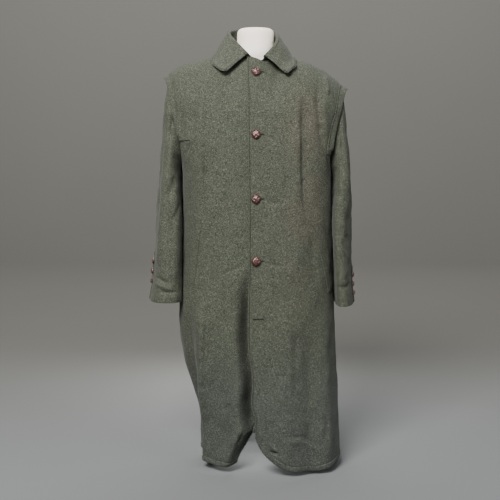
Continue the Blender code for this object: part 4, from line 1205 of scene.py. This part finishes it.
def add_vent(side, grid, normal):
    """The overlap at the back of a cuff, under its buttons: a strip of cloth over part of the sleeve."""
    start, end, top = VENTS[side]
    shares = np.array([0, 0.02, 0.06, 0.12, *np.linspace(0.2, 0.8, 7), 0.88, 0.94, 0.98, 1.0])
    cols = (start + (end - start) * shares) / 360 * SLEEVE_AROUND
    heights = grid[:, int(cols.mean()), 2]
    first = float(np.interp(-top, -heights, np.arange(len(heights))))
    left = len(heights) - first  # rows from the top of the vent down to the cuff
    rows = first + np.array([0, 0.3, 0.7, 1.2, *np.linspace(2, left - 3.5, 26), left - 2.8])
    outer = np.array([[sample(grid, row, col) for col in cols] for row in rows])
    aims = np.array([[sample(normal, row, col) for col in cols] for row in rows])
    aims /= np.linalg.norm(aims, axis=2, keepdims=True)
    outer += aims * (VENT_LIFT + VENT_WALL)
    return wear(cloth_wall(f"cuff_vent_{side}", outer, aims, thickness=VENT_WALL), "cloth")


def select_only(thing):
    bpy.ops.object.select_all(action="DESELECT")
    thing.select_set(True)
    bpy.context.view_layer.objects.active = thing


def knotted_button(name, radius, rise):
    """A leather button knotted from cords over a domed core, its base at the origin and its face up +Z."""
    bpy.ops.object.select_all(action="DESELECT")
    bpy.ops.mesh.primitive_uv_sphere_add(segments=40, ring_count=20, radius=radius * 0.985)
    core = bpy.context.object
    parts = [core]
    for way in (0, 1):
        for row, shift in enumerate(CORD_PLACES):
            ring = math.sqrt(1 - shift * shift)
            bpy.ops.mesh.primitive_torus_add(
                major_radius=radius * ring * 0.84 - radius * 0.02 * (shift == 0),
                minor_radius=radius * 0.175, major_segments=72, minor_segments=14,
                rotation=(math.pi / 2, 0, 0) if way else (0, math.pi / 2, 0),
                location=(0, shift * radius, 0) if way else (shift * radius, 0, 0),
            )
            cord = bpy.context.object
            bpy.ops.object.transform_apply(location=True, rotation=True, scale=True)
            for step, cross in enumerate(CORD_PLACES):
                place = Vector((cross, shift, 0)) if way else Vector((shift, cross, 0))
                place.z = math.sqrt(max(0.0, 1 - place.length_squared))
                lift_cord(cord, place * radius, radius, 1 if (row + step + way) % 2 else -1)
            parts.append(cord)
    bpy.ops.object.select_all(action="DESELECT")
    for part in parts:
        part.select_set(True)
    bpy.context.view_layer.objects.active = core
    bpy.ops.object.join()
    bpy.ops.object.transform_apply(location=True, rotation=True, scale=True)
    bpy.ops.object.mode_set(mode="EDIT")
    bpy.ops.mesh.select_all(action="SELECT")
    bpy.ops.transform.resize(value=(0.97, 0.97, rise / radius * 0.80))
    bpy.ops.transform.translate(value=(0, 0, rise * 0.12))
    bpy.ops.mesh.bisect(plane_co=(0, 0, 0), plane_no=(0, 0, 1), clear_inner=True, use_fill=False)
    bpy.ops.mesh.select_all(action="SELECT")
    bpy.ops.mesh.region_to_loop()
    bpy.ops.mesh.fill_holes(sides=0)
    bpy.ops.mesh.select_all(action="SELECT")
    bpy.ops.mesh.normals_make_consistent(inside=False)
    bpy.ops.object.mode_set(mode="OBJECT")
    bpy.ops.object.shade_smooth_by_angle(angle=math.radians(50))
    core.name = name
    core.data.name = name
    return core


def lift_cord(cord, place, radius, over):
    """Bends a cord over or under its neighbour where they cross."""
    select_only(cord)
    bpy.ops.object.mode_set(mode="EDIT")
    bpy.ops.mesh.select_all(action="DESELECT")
    shape = bmesh.from_edit_mesh(cord.data)
    for corner in shape.verts:
        corner.select_set((corner.co - place).length < 0.30 * radius)
    shape.select_flush(True)
    bmesh.update_edit_mesh(cord.data)
    step = place.normalized() * (0.06 * radius * over)
    bpy.ops.transform.translate(
        value=step, use_proportional_edit=True, proportional_edit_falloff="SMOOTH",
        proportional_size=0.26 * radius)
    bpy.ops.object.mode_set(mode="OBJECT")


def place_button(pattern, name, node, place, aim, spin=0.0):
    """A copy of the knotted button with its own mesh, on the cloth at a place, facing along aim."""
    mesh = pattern.data.copy()
    turn = Vector((0, 0, 1)).rotation_difference(Vector(aim)).to_matrix().to_4x4()
    mesh.transform(Matrix.Translation(Vector(place) + CENTRE_SHIFT) @ turn @ Matrix.Rotation(spin, 4, "Z"))
    mesh.materials.clear()
    mesh.name = name
    return wear(add_object(name, mesh, "leather"), "buttons", node)


def add_front_buttons(pattern, tree_left, tree_right):
    """The row of buttons down the front; the lowest sits on the right front, under the overlap."""
    for number, (height, turn) in enumerate(zip(BUTTON_HEIGHTS, BUTTON_TURNS), 1):
        under = number == len(BUTTON_HEIGHTS)
        place, aim = front_hit(tree_right if under else tree_left, BUTTON_LINE, height)
        place += aim * (UNDER_BUTTON_SEAT if under else SEAM_GAP)
        name = f"button_{number}"
        place_button(pattern, f"knotted_{name}", name, place, aim, math.radians(turn))


def add_cuff_buttons(pattern, side, grid):
    """Three small buttons up the outer side of a cuff, on its overlap."""
    tree = surface_tree([grid])
    (across, back), heights = CUFF_BUTTONS[side]
    middle = grid[-9, :-1].mean(axis=0)
    for index, height in enumerate(heights):
        aim = Vector((across, back, 0)).normalized()
        place, normal, _, _ = tree.ray_cast(Vector((middle[0], middle[1], height)) + aim * 0.3, -aim)
        normal = turned_to(normal, aim)
        place += normal * CUFF_BUTTON_SEAT
        name = f"cuff_button_{side}_{index + 1}"
        place_button(pattern, f"knotted_{name}", name, place, normal, math.radians(40 + 9 * index))


def add_buttonhole(index, height, tree):
    """A worked buttonhole: a raised bead of thread all round, and a dark sheet in the cut that is painted
    shade.
    """
    left, right = HOLE_ENDS
    path = []
    count = 46
    for step in range(count):
        turn = 2 * math.pi * step / count
        out = math.copysign(abs(math.cos(turn)) ** 0.25, math.cos(turn))
        x = (left + right) / 2 + ((right - left) / 2 - HOLE_HALF) * out
        path.append((x + HOLE_HALF * math.cos(turn), height + HOLE_HALF * math.sin(turn)))
    vertices = []
    faces = []
    for step, (x, z) in enumerate(path):
        place, aim = front_hit(tree, x, z)
        x2, z2 = path[(step + 1) % count]
        x1, z1 = path[step - 1]
        side = aim.cross(Vector((x2 - x1, 0, z2 - z1)).normalized()).normalized()
        thick = BEAD_RADIUS * (1 + 0.12 * math.sin(step * 2.9))
        low, high = step * BEAD_SIDES, ((step + 1) % count) * BEAD_SIDES
        for turn in range(BEAD_SIDES):
            angle = 2 * math.pi * turn / BEAD_SIDES
            out = side * (thick * math.cos(angle)) + aim * (thick * 0.8 * math.sin(angle) + HOLE_LIFT)
            vertices.append(place + out)
            following = (turn + 1) % BEAD_SIDES
            faces.append((low + turn, low + following, high + following, high + turn))
    bead = cloth_object(f"buttonhole_bead_{index}", vertices, faces, "thread")
    # A dark sheet in the cut: painted shade of the opening.
    grid = np.zeros((3, 14, 3))
    aims = np.zeros_like(grid)
    for row, z in enumerate((-0.0004, 0.0, 0.0004)):
        for col, x in enumerate(np.linspace(left + 0.001, right - 0.001, 14)):
            place, aim = front_hit(tree, x, height + z)
            grid[row, col] = place + aim * HOLE_LIFT
            aims[row, col] = aim
    slit_shade = cloth_wall(f"buttonhole_slit_{index}", grid, aims, thickness=0.0006, bulge=0.0, finish="slit_shade")
    return [wear(bead, "cloth"), wear(slit_shade, "cloth")]


def add_form_cover():
    """The dress form's smooth stretched cover, remade evenly from the form's own surface."""
    cover = add_object("dress_form_cover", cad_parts["dress_form"].data.copy(), "cover")
    select_only(cover)
    bpy.ops.object.mode_set(mode="EDIT")
    bpy.ops.mesh.select_all(action="SELECT")
    bpy.ops.mesh.remove_doubles(threshold=0.00002)
    bpy.ops.object.mode_set(mode="OBJECT")
    even = cover.modifiers.new("even_faces", "REMESH")
    even.mode = "VOXEL"
    even.voxel_size = COVER_FACE
    ease = cover.modifiers.new("eased", "SMOOTH")
    ease.factor = 0.5
    ease.iterations = 6
    for name in ("even_faces", "eased"):
        bpy.ops.object.modifier_apply(modifier=name)
    places = np.empty(3 * len(cover.data.vertices))
    aims = np.empty_like(places)
    cover.data.vertices.foreach_get("co", places)
    cover.data.vertices.foreach_get("normal", aims)
    hidden = 1 - smooth_step((places[2::3] - COVER_HIDDEN_TOP) / COVER_HIDDEN_FADE)
    cover.data.vertices.foreach_set("co", places - aims * np.repeat(COVER_EASE * hidden, 3))
    cover.data.update()
    cover.data.shade_smooth()
    cover.data.materials.clear()
    cover.data.materials.append(finishes["cover"])
    cover.select_set(False)
    return wear(cover, "form", "dress_form")


def socket(group, way, name, kind):
    group.interface.new_socket(name=name, in_out=way, socket_type=f"NodeSocket{kind}")


def node(tree, kind, settings=None, **values):
    """A shader node with its settings and inputs; a tuple of a node and an output's name is linked."""
    made = tree.nodes.new(f"ShaderNode{kind}")
    for key, value in (settings or {}).items():
        setattr(made, key, value)
    for key, value in values.items():
        key = key.replace("_", " ")
        target = made.inputs[int(key[1:])] if key[0] == "n" and key[1:].isdigit() else made.inputs[key]
        if isinstance(value, tuple) and len(value) == 2 and hasattr(value[0], "outputs"):
            tree.links.new(value[0].outputs[value[1]], target)
        else:
            target.default_value = value
    return made


def math_node(tree, operation, first, second, clamp=False):
    return node(tree, "Math", {"operation": operation, "use_clamp": clamp}, n0=first, n1=second), "Value"


def times(tree, first, second):
    return math_node(tree, "MULTIPLY", first, second)


def plus(tree, first, second):
    return math_node(tree, "ADD", first, second)


def mix_colour(tree, share, first, second):
    return node(tree, "Mix", {"data_type": "RGBA"}, n0=share, n6=first, n7=second), 2


def noise(tree, where, scale, detail=3.0, rough=0.55):
    return node(tree, "TexNoise", Vector=where, Scale=scale, Detail=detail, Roughness=rough), "Fac"


def stretch(tree, where, scale, turn=(0, 0, 0)):
    return node(tree, "Mapping", Vector=where, Scale=scale, Rotation=turn), "Vector"


def ranged(tree, value, low, high, to_low=0.0, to_high=1.0):
    """A value eased from one range to another."""
    return node(tree, "MapRange", {"interpolation_type": "SMOOTHSTEP"}, Value=value,
                From_Min=low, From_Max=high, To_Min=to_low, To_Max=to_high), "Result"


def felt_group():
    """Felted melange cloth: fibres of three colours lying every way, worn patches and a nap height."""
    group = bpy.data.node_groups.new("felted_melange", "ShaderNodeTree")
    socket(group, "INPUT", "Coordinates", "Vector")
    for name in FELT_COLOURS:
        socket(group, "INPUT", name, "Color")
    for name in ("Light share", "Dark share"):
        socket(group, "INPUT", name, "Float")
    for name, kind in (("Colour", "Color"), ("Nap height", "Float"), ("Roughness", "Float")):
        socket(group, "OUTPUT", name, kind)
    enter = group.nodes.new("NodeGroupInput")
    leave = group.nodes.new("NodeGroupOutput")
    where = (enter, "Coordinates")
    light_share, light_fibre = (enter, "Light share"), (enter, "Light fibre")
    swirl = noise(group, where, 60.0, 2.0)
    cloud = node(group, "TexNoise", Vector=where, Scale=110.0, Detail=3.0), "Color"
    bend = node(group, "VectorMath", {"operation": "SCALE"}, n0=cloud, Scale=0.004), "Vector"
    bent = node(group, "VectorMath", {"operation": "ADD"}, n0=where, n1=bend), "Vector"
    level = noise(group, stretch(group, bent, (1, 1, 4.2), (0.0, 0.30, 0.0)), 380.0, 6.0, 0.72)
    upright = noise(group, stretch(group, bent, (4.2, 4.2, 1), (0.0, -0.25, 0.0)), 390.0, 6.0, 0.72)
    slant = noise(group, stretch(group, bent, (1, 1, 3.4), (0.0, 0.95, 0.4)), 420.0, 6.0, 0.72)
    fibre = plus(group, times(group, level, 0.40), plus(
        group, times(group, upright, 0.30), times(group, slant, 0.30)))
    fleck = noise(group, bent, 350.0, 7.0, 0.76)
    patch = noise(group, where, 7.0, 3.0)
    mottle = noise(group, bent, 150.0, 3.0, 0.6)
    parts = node(group, "SeparateXYZ", Vector=where)
    across, up = (parts, "X"), (parts, "Z")
    clear = ranged(group, up, 0.16, 0.60, 0.84, 1.0)
    light = times(group, ranged(group, fleck, 0.50, 0.63), times(group, clear, light_share))
    thin = times(group, ranged(group, level, 0.53, 0.66), light_share)
    stood = times(group, ranged(group, upright, 0.54, 0.67), light_share)
    dark = times(group, ranged(group, fleck, 0.49, 0.38), times(group, clear, (enter, "Dark share")))
    beside = times(group, ranged(group, across, 0.06, 0.15), ranged(group, across, 0.225, 0.19))
    between = times(group, ranged(group, up, 0.42, 0.70), ranged(group, up, 1.22, 1.05))
    worn = plus(group, times(group, times(group, beside, between), 0.7), 0.08)
    worn = times(group, worn, ranged(group, patch, 0.34, 0.62))
    tone = mix_colour(group, worn, (enter, "Ground"), (enter, "Warm shade"))
    tone = mix_colour(group, dark, tone, (enter, "Dark fibre"))
    for share in (light, times(group, thin, 0.7), times(group, stood, 0.5)):
        tone = mix_colour(group, share, tone, light_fibre)
    bright = ranged(group, mottle, 0.34, 0.66, 0.87, 1.13)
    tone = node(group, "VectorMath", {"operation": "SCALE"}, n0=tone, Scale=bright), "Vector"
    # Bluer towards the bottom of the cloth.
    bluer_low = times(group, ranged(group, up, 0.50, 0.16), ranged(group, patch, 0.30, 0.55, 0.5, 1.0))
    cool = node(group, "VectorMath", {"operation": "MULTIPLY"}, n0=tone, n1=(1.00, 1.02, 1.18)), "Vector"
    height = plus(group, times(group, fibre, 0.7), plus(
        group, times(group, fleck, 0.5), times(group, swirl, 0.35)))
    plug(group, mix_colour(group, bluer_low, tone, cool), leave, "Colour")
    plug(group, height, leave, "Nap height")
    plug(group, ranged(group, fibre, 0.3, 0.7, 0.98, 0.82), leave, "Roughness")
    return group


# Studio: backdrop tones, lights with their place, aim, size, power and colour, and the camera
# The wall's tone is the floor's painted darker and warmer: painted shade on the wall and the back of the
# floor.
BACKDROP_LOW = (0.098, 0.103, 0.105, 1)
BACKDROP_HIGH = (0.069, 0.0665, 0.059, 1)
BACKDROP_PATCH = (0.078, 0.077, 0.072, 1)
WORLD_LIGHT = 0.39
WHITE = (1.0, 1.0, 1.0)
LIGHTS = (
    ("key_softbox", (-1.0, -3.1, 3.3), (0.0, 0.0, 0.65), (1.6, 1.6), 520.0, (1.0, 0.99, 0.97)),
    ("fill_softbox", (2.9, -2.6, 1.6), (0.0, 0.0, 0.7), (2.2, 2.2), 52.0, (0.97, 0.98, 1.0)),
    ("wall_wash", (0.0, 2.2, 4.6), (0.0, 4.4, 1.0), (6.0, 1.0), 460.0, WHITE),
    ("floor_light", (0.0, 1.1, 0.75), (0.0, 0.05, 0.0), (0.5, 0.4), 24.0, WHITE),
    ("hem_light", (0.0085, 0.016, 0.15), (0.0085, 0.0, 0.0), (0.07, 0.08), 0.7, WHITE),
)
CAMERA_PLACE = (-0.008, -3.158, 1.05)
CAMERA_PITCH = 83.1
CAMERA_LENS = 74.52


def start_material(name):
    material = bpy.data.materials.new(name)
    material.use_nodes = True
    tree = material.node_tree
    return material, tree, tree.nodes["Principled BSDF"], (tree.nodes.new("ShaderNodeTexCoord"), "Object")


def plug(tree, source, shader, name):
    tree.links.new(source[0].outputs[source[1]], shader.inputs[name])


def set_inputs(shader, **values):
    for key, value in values.items():
        shader.inputs[key.replace("_", " ")].default_value = value


def add_bump(tree, shader, height, distance):
    bump = node(tree, "Bump", Height=height, Distance=distance, Strength=1.0)
    plug(tree, (bump, "Normal"), shader, "Normal")


# Each felt: its four colours, the shares of light and dark fibre, and the height of its nap
FELT_COLOURS = ("Ground", "Light fibre", "Dark fibre", "Warm shade")
FELTS = {
    "loden": (
        (0.0272, 0.0312, 0.0216), (0.1104, 0.1160, 0.0896),
        (0.0048, 0.0064, 0.0040), (0.0384, 0.0320, 0.0232), 0.68, 0.84, 0.0010,
    ),
    # The collar's felt is the loden painted lighter: painted light from above on the collar.
    "collar": (
        (0.0304, 0.0344, 0.0248), (0.1168, 0.1208, 0.0960),
        (0.0064, 0.0080, 0.0048), (0.0400, 0.0344, 0.0248), 0.68, 0.80, 0.0010,
    ),
    "thread": (
        (0.0152, 0.0168, 0.0112), (0.0336, 0.0352, 0.0256),
        (0.0048, 0.0056, 0.0040), (0.0160, 0.0144, 0.0096), 0.50, 0.50, 0.0004,
    ),
    # Near black felt laid in the buttonhole cuts: painted shade of the openings.
    "slit_shade": (
        (0.0048, 0.0048, 0.0040), (0.0112, 0.0112, 0.0088),
        (0.0016, 0.0016, 0.0012), (0.0056, 0.0048, 0.0032), 0.30, 0.50, 0.0004,
    ),
}


def felt_material(name, group):
    """One of the felts, with the shared group of fibres."""
    *colours, light_share, dark_share, nap = FELTS[name]
    material, tree, shader, where = start_material(name)
    felt = tree.nodes.new("ShaderNodeGroup")
    felt.node_tree = group
    plug(tree, where, felt, "Coordinates")
    for key, colour in zip(FELT_COLOURS, colours):
        felt.inputs[key].default_value = (*colour, 1)
    set_inputs(felt, Light_share=light_share, Dark_share=dark_share)
    plug(tree, (felt, "Colour"), shader, "Base Color")
    plug(tree, (felt, "Roughness"), shader, "Roughness")
    set_inputs(shader, Specular_IOR_Level=0.18, Sheen_Weight=0.04, Sheen_Roughness=0.45)
    add_bump(tree, shader, (felt, "Nap height"), nap)
    return material


def leather_material():
    """Glossy red-brown leather, darker in its creases, with a fine grain."""
    material, tree, shader, where = start_material("leather")
    grain = node(tree, "TexVoronoi", {"feature": "DISTANCE_TO_EDGE"}, Vector=where, Scale=1500.0)
    grain = (grain, "Distance")
    cloud = noise(tree, where, 260.0, 4.0)
    streak = noise(tree, stretch(tree, where, (1, 1, 5)), 500.0, 3.0)
    worn = ranged(tree, cloud, 0.38, 0.66)
    tone = mix_colour(tree, worn, (0.018, 0.0045, 0.004, 1), (0.066, 0.015, 0.010, 1))
    tone = mix_colour(tree, ranged(tree, streak, 0.55, 0.75, 0.0, 0.6), tone, (0.110, 0.034, 0.021, 1))
    plug(tree, tone, shader, "Base Color")
    plug(tree, ranged(tree, cloud, 0.3, 0.7, 0.26, 0.42), shader, "Roughness")
    set_inputs(shader, Coat_Weight=0.40, Coat_Roughness=0.22)
    add_bump(tree, shader, plus(tree, ranged(tree, grain, 0.0, 0.12, 0.0, 0.5), cloud), 0.00012)
    return material


def cover_material():
    """Stretched knitted cover of the form: white low on the neck, darker and warmer towards its top as
    painted shade.
    """
    material, tree, shader, where = start_material("cover")
    parts = node(tree, "SeparateXYZ", Vector=where)
    # Darker and warmer towards the top of the neck: painted shade.
    rise = ranged(tree, (parts, "Z"), 1.255, 1.335)
    cloud = noise(tree, where, 18.0, 3.0)
    lift = math_node(tree, "ADD", rise, ranged(tree, cloud, 0.3, 0.7, -0.14, 0.14), clamp=True)
    tone = mix_colour(tree, lift, (0.97, 0.91, 0.80, 1), (0.90, 0.78, 0.68, 1))
    rib = node(tree, "TexWave", {"bands_direction": "X"}, Vector=where, Scale=420.0, Distortion=0.6), "Fac"
    row = node(tree, "TexWave", {"bands_direction": "Z"}, Vector=where, Scale=360.0, Distortion=0.8), "Fac"
    knit = times(tree, rib, row)
    speck = noise(tree, where, 700.0, 2.0)
    tone = mix_colour(tree, ranged(tree, speck, 0.55, 0.75, 0.0, 0.22), tone, (0.52, 0.44, 0.37, 1))
    tone = mix_colour(tree, ranged(tree, knit, 0.0, 0.7, 0.16, 0.0), tone, (0.50, 0.42, 0.35, 1))
    plug(tree, tone, shader, "Base Color")
    plug(tree, ranged(tree, speck, 0.3, 0.7, 0.62, 0.80), shader, "Roughness")
    set_inputs(shader, Specular_IOR_Level=0.25)
    add_bump(tree, shader, knit, 0.00035)
    return material


def paint_material():
    """Satin powder paint on the stand: a fine pebble, light scuffs and a little dust."""
    material, tree, shader, where = start_material("stand_paint")
    pebble = noise(tree, where, 900.0, 2.0)
    cloud = noise(tree, where, 14.0, 4.0)
    scuff = noise(tree, stretch(tree, where, (1, 1, 9)), 60.0, 5.0, 0.7)
    tone = mix_colour(tree, ranged(tree, cloud, 0.35, 0.7), (0.58, 0.56, 0.52, 1), (0.64, 0.61, 0.57, 1))
    tone = mix_colour(tree, ranged(tree, scuff, 0.60, 0.72, 0.0, 0.5), tone, (0.38, 0.36, 0.33, 1))
    plug(tree, tone, shader, "Base Color")
    plug(tree, ranged(tree, cloud, 0.3, 0.7, 0.32, 0.50), shader, "Roughness")
    add_bump(tree, shader, pebble, 0.00015)
    return material


def backdrop_material():
    """Matt paper, a little uneven, painted darker and warmer from the floor in front back to the wall as
    painted shade.
    """
    material, tree, shader, where = start_material("backdrop_paper")
    cloud = noise(tree, where, 0.55, 3.0)
    fine = noise(tree, where, 60.0, 3.0)
    parts = node(tree, "SeparateXYZ", Vector=where)
    floor = ranged(tree, (parts, "Y"), -0.5, 2.2)
    # Darker and warmer from the floor in front back to the wall: painted shade.
    tone = mix_colour(tree, floor, BACKDROP_LOW, BACKDROP_HIGH)
    tone = mix_colour(tree, ranged(tree, cloud, 0.35, 0.7, 0.0, 0.25), tone, BACKDROP_PATCH)
    tone = mix_colour(tree, ranged(tree, fine, 0.4, 0.7, 0.0, 0.06), tone, (0.12, 0.12, 0.115, 1))
    plug(tree, tone, shader, "Base Color")
    plug(tree, ranged(tree, fine, 0.3, 0.7, 0.86, 0.96), shader, "Roughness")
    set_inputs(shader, Specular_IOR_Level=0.15)
    return material


def select_back_edge(sweep):
    """Picks the edge of the floor behind the coat."""
    shape = bmesh.from_edit_mesh(sweep.data)
    bpy.ops.mesh.select_all(action="DESELECT")
    for line in shape.edges:
        line.select_set(all(end.co.y > 4 and end.co.z < 0.1 for end in line.verts))
    bmesh.update_edit_mesh(sweep.data)


def add_backdrop():
    """A paper sweep: floor, a wide curve and a wall."""
    bpy.ops.mesh.primitive_plane_add(size=1, location=(0, 0, 0))
    sweep = bpy.context.object
    sweep.name = "backdrop_sweep"
    bpy.ops.object.mode_set(mode="EDIT")
    bpy.ops.mesh.select_all(action="SELECT")
    bpy.ops.transform.resize(value=(18, 11, 1))
    bpy.ops.transform.translate(value=(0, -0.9, 0))
    select_back_edge(sweep)
    bpy.ops.mesh.extrude_region_move(TRANSFORM_OT_translate={"value": (0, 0, 6)})
    select_back_edge(sweep)
    bpy.ops.mesh.bevel(offset=1.5, segments=24, affect="EDGES")
    bpy.ops.mesh.select_all(action="SELECT")
    bpy.ops.mesh.normals_make_consistent(inside=False)
    bpy.ops.object.mode_set(mode="OBJECT")
    sweep.data.shade_smooth()
    sweep.data.materials.append(backdrop_material())
    sweep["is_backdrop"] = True


def add_light(name, place, aim, size, power, colour):
    lamp = bpy.data.lights.new(name, "AREA")
    lamp.shape = "RECTANGLE"
    lamp.size, lamp.size_y = size
    lamp.energy = power
    lamp.color = colour
    thing = bpy.data.objects.new(name, lamp)
    bpy.context.scene.collection.objects.link(thing)
    thing.location = place
    thing.rotation_euler = (Vector(aim) - Vector(place)).to_track_quat("-Z", "Y").to_euler()
    thing.visible_camera = False
    thing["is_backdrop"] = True


def set_lights():
    world = bpy.data.worlds.new("studio")
    bpy.context.scene.world = world
    world.use_nodes = True
    sky = world.node_tree.nodes["Background"]
    sky.inputs["Color"].default_value = (0.96, 0.98, 1.0, 1)
    sky.inputs["Strength"].default_value = WORLD_LIGHT
    for light in LIGHTS:
        add_light(*light)


def set_camera():
    lens = bpy.data.cameras.new("camera")
    lens.sensor_width = 36.0
    lens.lens = CAMERA_LENS
    lens.clip_end = 40.0
    camera = bpy.data.objects.new("camera", lens)
    bpy.context.scene.collection.objects.link(camera)
    camera.location = CAMERA_PLACE
    camera.rotation_euler = (math.radians(CAMERA_PITCH), 0.0, 0.0)
    bpy.context.scene.camera = camera


# Cut of each cloth piece before it is worn: width, length and flat area
CUTS = {
    "front_left": (0.44, 1.28, 0.44),
    "front_right": (0.44, 1.28, 0.42),
    "back": (0.80, 1.28, 0.80),
    "sleeve_left": (0.42, 0.66, 0.22),
    "sleeve_right": (0.42, 0.66, 0.22),
    "collar": (0.60, 0.135, 0.080),
    "pocket_welt_left": (0.045, 0.21, 0.0093),
    "pocket_welt_right": (0.045, 0.21, 0.0093),
}


def declare(piece, cut, sewn=()):
    """Reads the flat cut of a soft piece and runs through what rides on it, and does nothing more with them;
    the piece is not used.
    """
    width, length, area = CUTS[cut]
    list(sewn)


def add_panel(name, grid, normal):
    """A front or the back as a wall of cloth, its rims flat where another panel is sewn on."""
    bulge = np.full(grid.shape[:2], RIM_BULGE)
    bulge[-1] = SEAM_BULGE
    low = grid[:, :, 2] < ARM_LEVEL + 0.010
    for end in PANEL_ENDS[name.partition("_")[2]]:
        bulge[low[:, end], end] = SEAM_BULGE
    bulge[0] = RIM_BULGE
    return wear(cloth_wall(f"{name}_cloth", grid, normal, bulge=bulge), "cloth", name)


def add_panel_stitches(name, grid, rims):
    """Sewing along a panel's hem and opening, and two rows round each cap."""
    side = name.partition("_")[2]
    tree = surface_tree([grid])

    def middle(place):
        return Vector((place.x * 0.4, 0.0, place.z))

    def inset(height):
        return float(stitch_inset(height, side))

    lines = [stitch_points(rims["front"], inset if side else HEM_STITCH, tree, middle)]
    for key, rim in rims.items():
        if key.startswith("cap_"):
            lines += [stitch_points(rim, away, tree, middle) for away in CAP_STITCHES]
    return add_stitches(f"{name}_stitches", lines)


def add_collar(panel_tree):
    """The collar lying on the panels, and the sewing along its rim."""
    def lie_on(point, clearance):
        place, normal, _, _ = panel_tree.find_nearest(Vector(point))
        normal = turned_to(normal, place - Vector((-0.005, 0.0, 1.10)))
        height = (Vector(point) - place).dot(normal)
        if height < clearance:
            return np.array(Vector(point) + normal * (clearance - height))
        return point

    grid, normal, rim = collar_sheet(lie_on)
    piece = wear(cloth_wall("collar_cloth", grid, normal, finish="collar", bulge=0.0010), "cloth", "collar")
    tree = surface_tree([grid[COLLAR_FALL_START:]])
    line = stitch_points(rim, COLLAR_STITCH, tree, lambda place: Vector((0.0, 0.0, 1.12)))
    return piece, [add_stitches("collar_stitches", [line])]


def make_coat():
    panels = {name: panel_sheet(name) for name in ("front_left", "front_right", "back")}
    pieces = {name: add_panel(name, grid, normal) for name, (grid, normal, _, _) in panels.items()}
    outer = [grid for grid, _, _, _ in panels.values()]
    inner = [grid - normal * WALL for grid, normal, _, _ in panels.values()]
    body = surface_tree(outer + inner)
    large = knotted_button("knotted_pattern", BUTTON_RADIUS, BUTTON_RISE)
    small = knotted_button("cuff_pattern", CUFF_BUTTON_RADIUS, CUFF_BUTTON_RISE)
    for side in ("right", "left"):
        name = f"sleeve_{side}"
        grid, normal = sleeve_sheet(side, body)
        pieces[name] = wear(cloth_wall(f"{name}_cloth", grid, normal, ring=True), "cloth", name)
        pieces[f"vent_{side}"] = add_vent(side, grid, normal)
        add_cuff_buttons(small, side, grid)
    sewn = {}
    pieces["collar"], sewn["collar"] = add_collar(surface_tree(outer))
    for name, (grid, _, rims, _) in panels.items():
        sewn[name] = [add_panel_stitches(name, grid, rims)]
    for side in ("right", "left"):
        grid, normal, _, girth = panels[f"front_{side}"]
        pieces[f"pocket_welt_{side}"] = add_welt(side, grid, normal, girth)
    left_tree = surface_tree([panels["front_left"][0]])
    right_tree = surface_tree([panels["front_right"][0]])
    for index, height in enumerate(BUTTON_HEIGHTS):
        sewn["front_left"] += add_buttonhole(index + 1, height, left_tree)
    add_front_buttons(large, left_tree, right_tree)
    for pattern in (large, small):
        bpy.data.objects.remove(pattern, do_unlink=True)
    for name in panels:
        declare(pieces[name], name, sewn[name])
    for side in ("right", "left"):
        vent = [pieces[f"vent_{side}"]]
        declare(pieces[f"sleeve_{side}"], f"sleeve_{side}", vent)
        declare(pieces[f"pocket_welt_{side}"], f"pocket_welt_{side}")
    declare(pieces["collar"], "collar", sewn["collar"])


fibres = felt_group()
finishes = {name: felt_material(name, fibres) for name in FELTS}
finishes["leather"] = leather_material()
finishes["cover"] = cover_material()
finishes["paint"] = paint_material()
make_coat()
add_form_cover()
for name in ("stand_pole", "stand_base"):
    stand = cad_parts[name]
    stand.data.materials.clear()
    stand.data.materials.append(finishes["paint"])
add_backdrop()
set_lights()
set_camera()
new_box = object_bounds()
[[list(corner) for corner in box] for box in (solid_box, new_box)]
